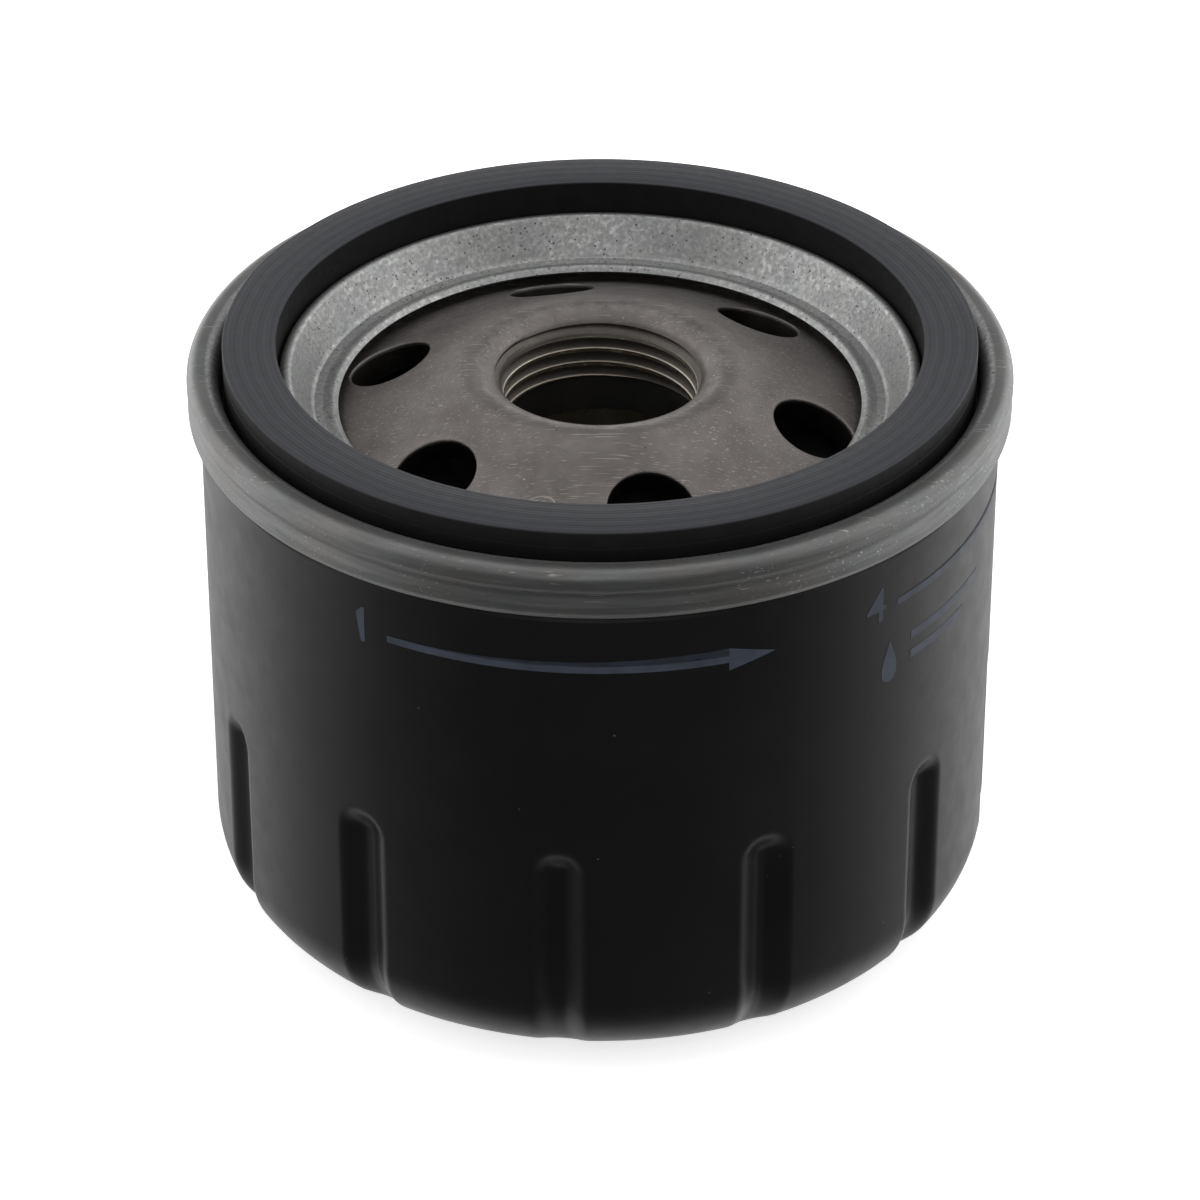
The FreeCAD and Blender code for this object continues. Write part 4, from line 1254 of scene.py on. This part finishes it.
@dataclass
class BasePlate:
    """The pressed cone that takes the engine's stud, with its thread and its ring of oil holes."""

    repeat: bpy.types.NodeTree
    thickness: float = 2.6
    crest: float = 9.188
    root: float = 10.0
    pitch: float = 1.5
    bore_end: float = 48.9
    crown: float = 3.1
    valley: Point = (25.95, 50.26)
    apex: float = 57.155
    rim: float = 36.4
    rim_foot: Point = (28.15, 51.3)
    chamfer: float = 0.9
    hole_radius: float = 4.1
    hole_reach: float = 21.15
    hole_edge: float = 0.22
    holes: int = 6
    first_hole: float = 13.0
    cone_in: float = 13.5
    cone_out: float = 25.3
    steel: PlateSteel = PlateSteel()

    def fall(self) -> float:
        """How far the cone falls for each millimetre outwards."""
        return (self.apex - self.valley[1]) / (self.valley[0] - self.crest)

    def normal(self) -> Point:
        """The cone's upward normal, as (outwards, up)."""
        out = Vector((self.fall(), 1.0)).normalized()
        return (out.x, out.y)

    def cone_height(self, r: float, under: bool) -> float:
        """Height of the cone's top or its underside at a radius."""
        z = self.apex - (r - self.crest) * self.fall()
        return z - self.thickness / self.normal()[1] if under else z

    def drilled(self, turn: float, radius: float, under: bool, depth: float = 0.0) -> Triple:
        """A point of the hole, on the cone or below it.

        Args:
            turn: direction round the hole's axis, in radians; 0 points away from the filter's axis.
            radius: distance from the hole's axis.
            under: measure from the cone's underside.
            depth: how far below that surface, along the hole.

        Returns:
            (outwards, sideways, up), in millimetres.
        """
        n_out, n_up = self.normal()
        along = radius * math.cos(turn)
        x = self.hole_reach + along * n_up
        y = radius * math.sin(turn)
        z = self.cone_height(self.hole_reach, False) - along * n_out
        shift = 0.0
        for _ in range(8):
            here = math.hypot(x + shift * n_out, y)
            error = z + shift * n_up - self.cone_height(here, under)
            shift -= error * n_up
        shift -= depth
        return (x + shift * n_out, y, z + shift * n_up)

    def border(self, under: bool) -> list[Point]:
        """Follows the edge of one hole's share of the cone.

        Args:
            under: the edge on the underside.

        Returns:
            (radius, degrees) all the way round.
        """
        shift = self.thickness * self.normal()[0] if under else 0.0
        inner, outer = self.cone_in - shift, self.cone_out - shift
        half, sides = 180 // self.holes, 20
        edge = [(outer, float(d)) for d in range(half)]
        edge += [(outer + (inner - outer) * k / sides, float(half)) for k in range(sides)]
        edge += [(inner, float(d)) for d in range(half, -half, -1)]
        edge += [(inner + (outer - inner) * k / sides, float(-half)) for k in range(sides)]
        return edge + [(outer, float(d)) for d in range(-half, 0)]

    def share(self) -> bpy.types.Object:
        """Makes one hole's share of the cone, with the hole.

        Returns:
            The share.
        """
        rings = 8
        rows: list[list[Triple]] = []
        turns = []
        for r, angle in self.border(False):
            side = math.radians(angle)
            turns.append(math.atan2(r * math.sin(side), r * math.cos(side) - self.hole_reach))
        for under in (False, True):
            edge = self.border(under)
            lip = self.hole_radius + (0.0 if under else self.hole_edge)
            sheet: list[list[Triple]] = []
            for k in range(rings + 1):
                row = []
                for (r, angle), turn in zip(edge, turns):
                    x, y, _ = self.drilled(turn, lip, under)
                    near, near_angle = math.hypot(x, y), math.degrees(math.atan2(y, x))
                    t = 1 - k / rings
                    here = near + (r - near) * t
                    row.append(place(here, near_angle + (angle - near_angle) * t + self.first_hole,
                                     self.cone_height(here, under)))
                sheet.append(row)
            if under:
                sheet.reverse()
            else:
                for bend in (22.5, 45, 67.5, 90):
                    lean = math.radians(bend)
                    radius = self.hole_radius + self.hole_edge * (1 - math.sin(lean))
                    depth = self.hole_edge * (1 - math.cos(lean))
                    sheet.append([self.turned(self.drilled(t, radius, False, depth)) for t in turns])
            rows += sheet
        skin = Skin()
        skin.strip(rows, around=True)
        return make("base_cone", skin.points, skin.faces)

    def turned(self, point: Triple) -> Triple:
        """Moves a hole's point to the first hole's place round the axis."""
        x, y, z = point
        return place(math.hypot(x, y), math.degrees(math.atan2(y, x)) + self.first_hole, z)

    def groove(self, angle: float, z: float) -> float:
        """Radius of the thread's groove at a place.

        Args:
            angle: degrees from the front.
            z: height, in millimetres.

        Returns:
            The radius, in millimetres.
        """
        phase = (z - self.bore_end) / self.pitch - angle / 360
        off = abs(phase - round(phase)) * self.pitch
        return self.root - max(0.0, off - self.pitch / 16) * math.sqrt(3)

    def neck(self) -> bpy.types.Object:
        """Makes the crown, the threaded bore and the neck's outside, all the way round.

        Returns:
            The neck.
        """
        crest_arc = [p for p in rounded([(self.cone_in, self.cone_height(self.cone_in, False)),
                                         (self.crest, self.apex, self.crown),
                                         (self.crest, self.bore_end)], 4.0)]
        start = max(z for r, z in crest_arc if r < self.root)
        skin = Skin()
        spread = range(361)
        above = [p for p in crest_arc if p[1] > start or p[0] > self.root]
        rows = [[place(r, a, z) for a in spread] for r, z in above]
        centre = (self.crest + self.crown, self.bore_centre())
        for turn in range(6, -3, -1):
            for part in (0.44, 0.376, 0.22, 0.0625, 0.0, -0.0625, -0.22, -0.376, -0.44, -0.5):
                row = []
                for a in spread:
                    z = self.bore_end + self.pitch * (turn + part + a / 360)
                    z = min(max(z, self.bore_end + 0.15), start)
                    wall = self.crest
                    if z > centre[1]:
                        wall = centre[0] - math.sqrt(max(self.crown ** 2 - (z - centre[1]) ** 2, 0))
                    row.append(place(max(wall, self.groove(a, z)), a, z))
                rows.append(row)
        outer = beside(crest_arc, self.thickness)
        rows.append([place(self.crest + self.chamfer, a, self.bore_end) for a in spread])
        rows += [[place(r, a, z) for a in spread] for r, z in outer[::-1]]
        skin.strip(rows, around=False)
        return skin.finish("base_neck", 30.0)

    def bore_centre(self) -> float:
        """Height where the crown's rounding meets the straight bore."""
        lean = math.atan(self.fall())
        return self.apex - self.crown * math.tan((math.pi / 2 + lean) / 2)

    def flange(self) -> bpy.types.Object:
        """Makes the valley and the flat rim under the gasket's groove.

        Returns:
            The flange.
        """
        path = rounded([(self.rim, self.rim_foot[1]), (*self.rim_foot, 1.5), (*self.valley, 1.5),
                        (self.cone_out, self.cone_height(self.cone_out, False))], 8.0)
        lower = beside(path, self.thickness)
        rows = [[place(r, float(a), z) for a in range(360)] for r, z in path[::-1] + lower]
        skin = Skin()
        skin.strip(rows, around=True)
        return skin.finish("base_flange")

    def build(self) -> bpy.types.Object:
        """Repeats the hole's share round the axis and welds it to neck and flange.

        Returns:
            The plate.
        """
        steel = self.steel.build()
        piece = bake(self.share(), self.repeat, {
            "Count": self.holes, "Step": 2 * math.pi / self.holes, "Weld": WELD,
            "Material": steel})
        joined(piece, self.neck(), 30.0)
        joined(piece, self.flange(), 30.0)
        piece.name = piece.data.name = "threaded_base_plate"
        return attach(dress(piece, steel), Body.HOUSING, "plate_steel", "base_plate")


@dataclass
class Membrane:
    """The anti-drain membrane: a hub round the bore and a lip that rests under the oil holes."""

    hub: float = 9.69
    sides: int = 192

    def build(self) -> bpy.types.Object:
        """Turns the membrane's section; its lip bends away from the plate.

        Returns:
            The membrane.
        """
        low = foot("anti_drain_valve")
        rim = reach("anti_drain_valve")
        lip = [(self.hub, low), (14.2, low), (15.1, low + 0.91, 0.9), (rim - 2.4, low + 1.135, 1.8),
               (rim, low + 1.36, 0.45), (rim, low + 2.66, 0.45), (rim - 2.4, low + 2.66, 0.3),
               (rim - 3.12, low + 2.035, 0.9), (14.65, low + 1.81, 0.45),
               (12.29, low + 3.75, 0.45), (self.hub, low + 3.75)]
        piece = dress(spin("anti_drain_membrane", rounded(lip, 15.0), self.sides), MEMBRANE.build())
        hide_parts("anti_drain_valve")
        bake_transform(piece)
        log.info("%s: %d faces", piece.name, len(piece.data.polygons))
        return piece


@dataclass
class Spring:
    """A compression spring wound from round wire, its end turns closed."""

    tree: bpy.types.NodeTree
    name: str
    node: str
    wire: float
    turns: float
    joint: str
    travel: float
    body: Body
    held_high: bool = False

    def build(self) -> bpy.types.Object:
        """Winds the coil in the space of its CAD node.

        Returns:
            The spring.
        """
        low, high = foot(self.node), top(self.node)
        seed = bpy.data.objects.new(self.name, bpy.data.meshes.new(self.name))
        bpy.context.scene.collection.objects.link(seed)
        piece = bake(seed, self.tree, {
            "Radius": (reach(self.node) - self.wire) * MM, "Wire": self.wire * MM,
            "Turns": self.turns, "Foot": (low + self.wire) * MM,
            "Rise": (high - low - 2 * self.wire) * MM, "Points": int(self.turns * 48),
            "Material": SPRING_WIRE.build()}, 60.0)
        attach(piece, self.body, "spring_steel", self.node)
        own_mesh(piece)
        return piece


@dataclass
class Element:
    """The paper element and the bypass valve: pieces kept as designed, each with its finish."""

    finishes: tuple[tuple[PlainFinish, tuple[str, ...]], ...] = (
        (TINPLATE, ("upper_end_cap", "lower_end_cap", "centre_tube", "media_seam_clip",
                    "bypass_cage", "bypass_disc", "bypass_washer", "bypass_stem")),
        (PAPER, ("pleated_media",)),
        (PLASTISOL, ("lower_adhesive", "upper_adhesive")),
        (MEMBRANE, ("bypass_seal",)),
        (COMPOUND, ("seam_compound",)),
    )

    def build(self) -> None:
        """Dresses the nodes."""
        for finish, nodes in self.finishes:
            material = finish.build()
            for name in nodes:
                dress(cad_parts[name], material)
                log.info("%s: %s", name, finish.name)


@dataclass(frozen=True)
class Panel:
    """A soft light: its name, its middle and its size in millimetres, and its power in watts."""

    name: str
    spot: Triple
    size: Point
    power: float

    def hang(self, aim_height: float) -> None:
        """Makes the light and turns it to the filter.

        Args:
            aim_height: height on the filter's axis that it faces, in millimetres.
        """
        lamp = bpy.data.lights.new(self.name, "AREA")
        lamp.shape = "RECTANGLE"
        lamp.size, lamp.size_y = self.size[0] * MM, self.size[1] * MM
        lamp.energy = self.power
        holder = bpy.data.objects.new(self.name, lamp)
        holder.location = Vector(self.spot) * MM
        aim = Vector((0, 0, aim_height)) * MM - holder.location
        holder.rotation_euler = aim.to_track_quat("-Z", "Y").to_euler()
        bpy.context.scene.collection.objects.link(holder)


@dataclass
class Studio:
    """A white floor of paper, soft panels of light all round, and the camera.

    The floor glows a little and stays out of reflections, so it is white and the enamel black.
    """

    eye: Triple = (0.0, -434.29, 305.34)
    pitch: float = 57.538
    lens: float = 158.35
    aim_height: float = 35.0
    floor_half: float = 3000.0
    floor_drop: float = 0.1
    paper: str = "#fbfbfb"
    sky: float = 0.16
    glow: float = 0.7
    panels: tuple[Panel, ...] = (
        Panel("left_panel", (-1050, 260, 260), (1900, 2200), 16.0),
        Panel("right_panel", (1050, 260, 260), (1900, 2200), 16.0),
        Panel("back_panel", (0, 1600, 150), (3000, 1000), 14.0),
        Panel("top_panel", (0, 200, 1500), (1600, 1300), 5.5),
        Panel("front_panel", (0, -1500, 1250), (1500, 1100), 5.5),
        Panel("under_panel", (0, 850, -700), (3000, 2200), 19.0),
        Panel("foot_panel", (0, -80, -900), (1800, 300), 1.5),
    )

    def floor(self) -> None:
        """Lays the pale floor, just under the closed end, so the two don't share a plane."""
        half, z = self.floor_half * MM, -self.floor_drop * MM
        corners = [(x * half, y * half, z) for x, y in ((-1, -1), (1, -1), (1, 1), (-1, 1))]
        mesh = bpy.data.meshes.new("pale_floor")
        mesh.from_pydata(corners, [], [(0, 1, 2, 3)])
        ground = bpy.data.objects.new("pale_floor", mesh)
        bpy.context.scene.collection.objects.link(ground)
        f = Finish("studio_paper")
        f.feed("Base Color", f.blend(f.ramp(f.noise(400.0, 2.0), 0.3, 0.7), self.paper, "#f6f6f6"))
        f.feed("Roughness", 0.9)
        f.feed("Specular IOR Level", 0.1)
        f.feed("Emission Color", (1, 1, 1, 1))
        f.feed("Emission Strength", self.glow)
        mesh.materials.append(f.material)
        ground.visible_glossy = False
        ground.visible_shadow = False

    def build(self) -> None:
        """Sets the floor, the lights, the sky and the camera."""
        self.floor()
        for panel in self.panels:
            panel.hang(self.aim_height)
        world = bpy.data.worlds.new("white_room")
        world.use_nodes = True
        bpy.context.scene.world = world
        shade = world.node_tree.nodes["Background"]
        shade.inputs["Color"].default_value = (1, 1, 1, 1)
        shade.inputs["Strength"].default_value = self.sky
        view = bpy.context.scene.view_settings
        view.view_transform = "Standard"
        lens = bpy.data.cameras.new("camera")
        lens.lens = self.lens
        lens.sensor_width = 36.0
        lens.clip_start, lens.clip_end = 0.01, 20.0
        camera = bpy.data.objects.new("camera", lens)
        camera.location = Vector(self.eye) * MM
        camera.rotation_euler = (math.radians(self.pitch), 0, 0)
        bpy.context.scene.collection.objects.link(camera)
        bpy.context.scene.camera = camera


def main() -> None:
    repeat, coil = around_axis_tree(), coil_tree()
    builders: list[Callable[[], Any]] = [
        Can(repeat).build,
        PrintedBand(repeat).build,
        SeamingLid().build,
        Gasket().build,
        BasePlate(repeat).build,
        Membrane().build,
        Spring(coil, "support_coil", "support_spring", wire=0.9, turns=2.75,
               joint="element_float", travel=1.5, body=Body.HOUSING).build,
        Spring(coil, "bypass_coil", "bypass_spring", wire=0.45, turns=6.5,
               joint="bypass_lift", travel=2.5, body=Body.ELEMENT, held_high=True).build,
        Element().build,
        Studio().build,
    ]
    for build in builders:
        build()


if __name__ == "__main__":
    main()
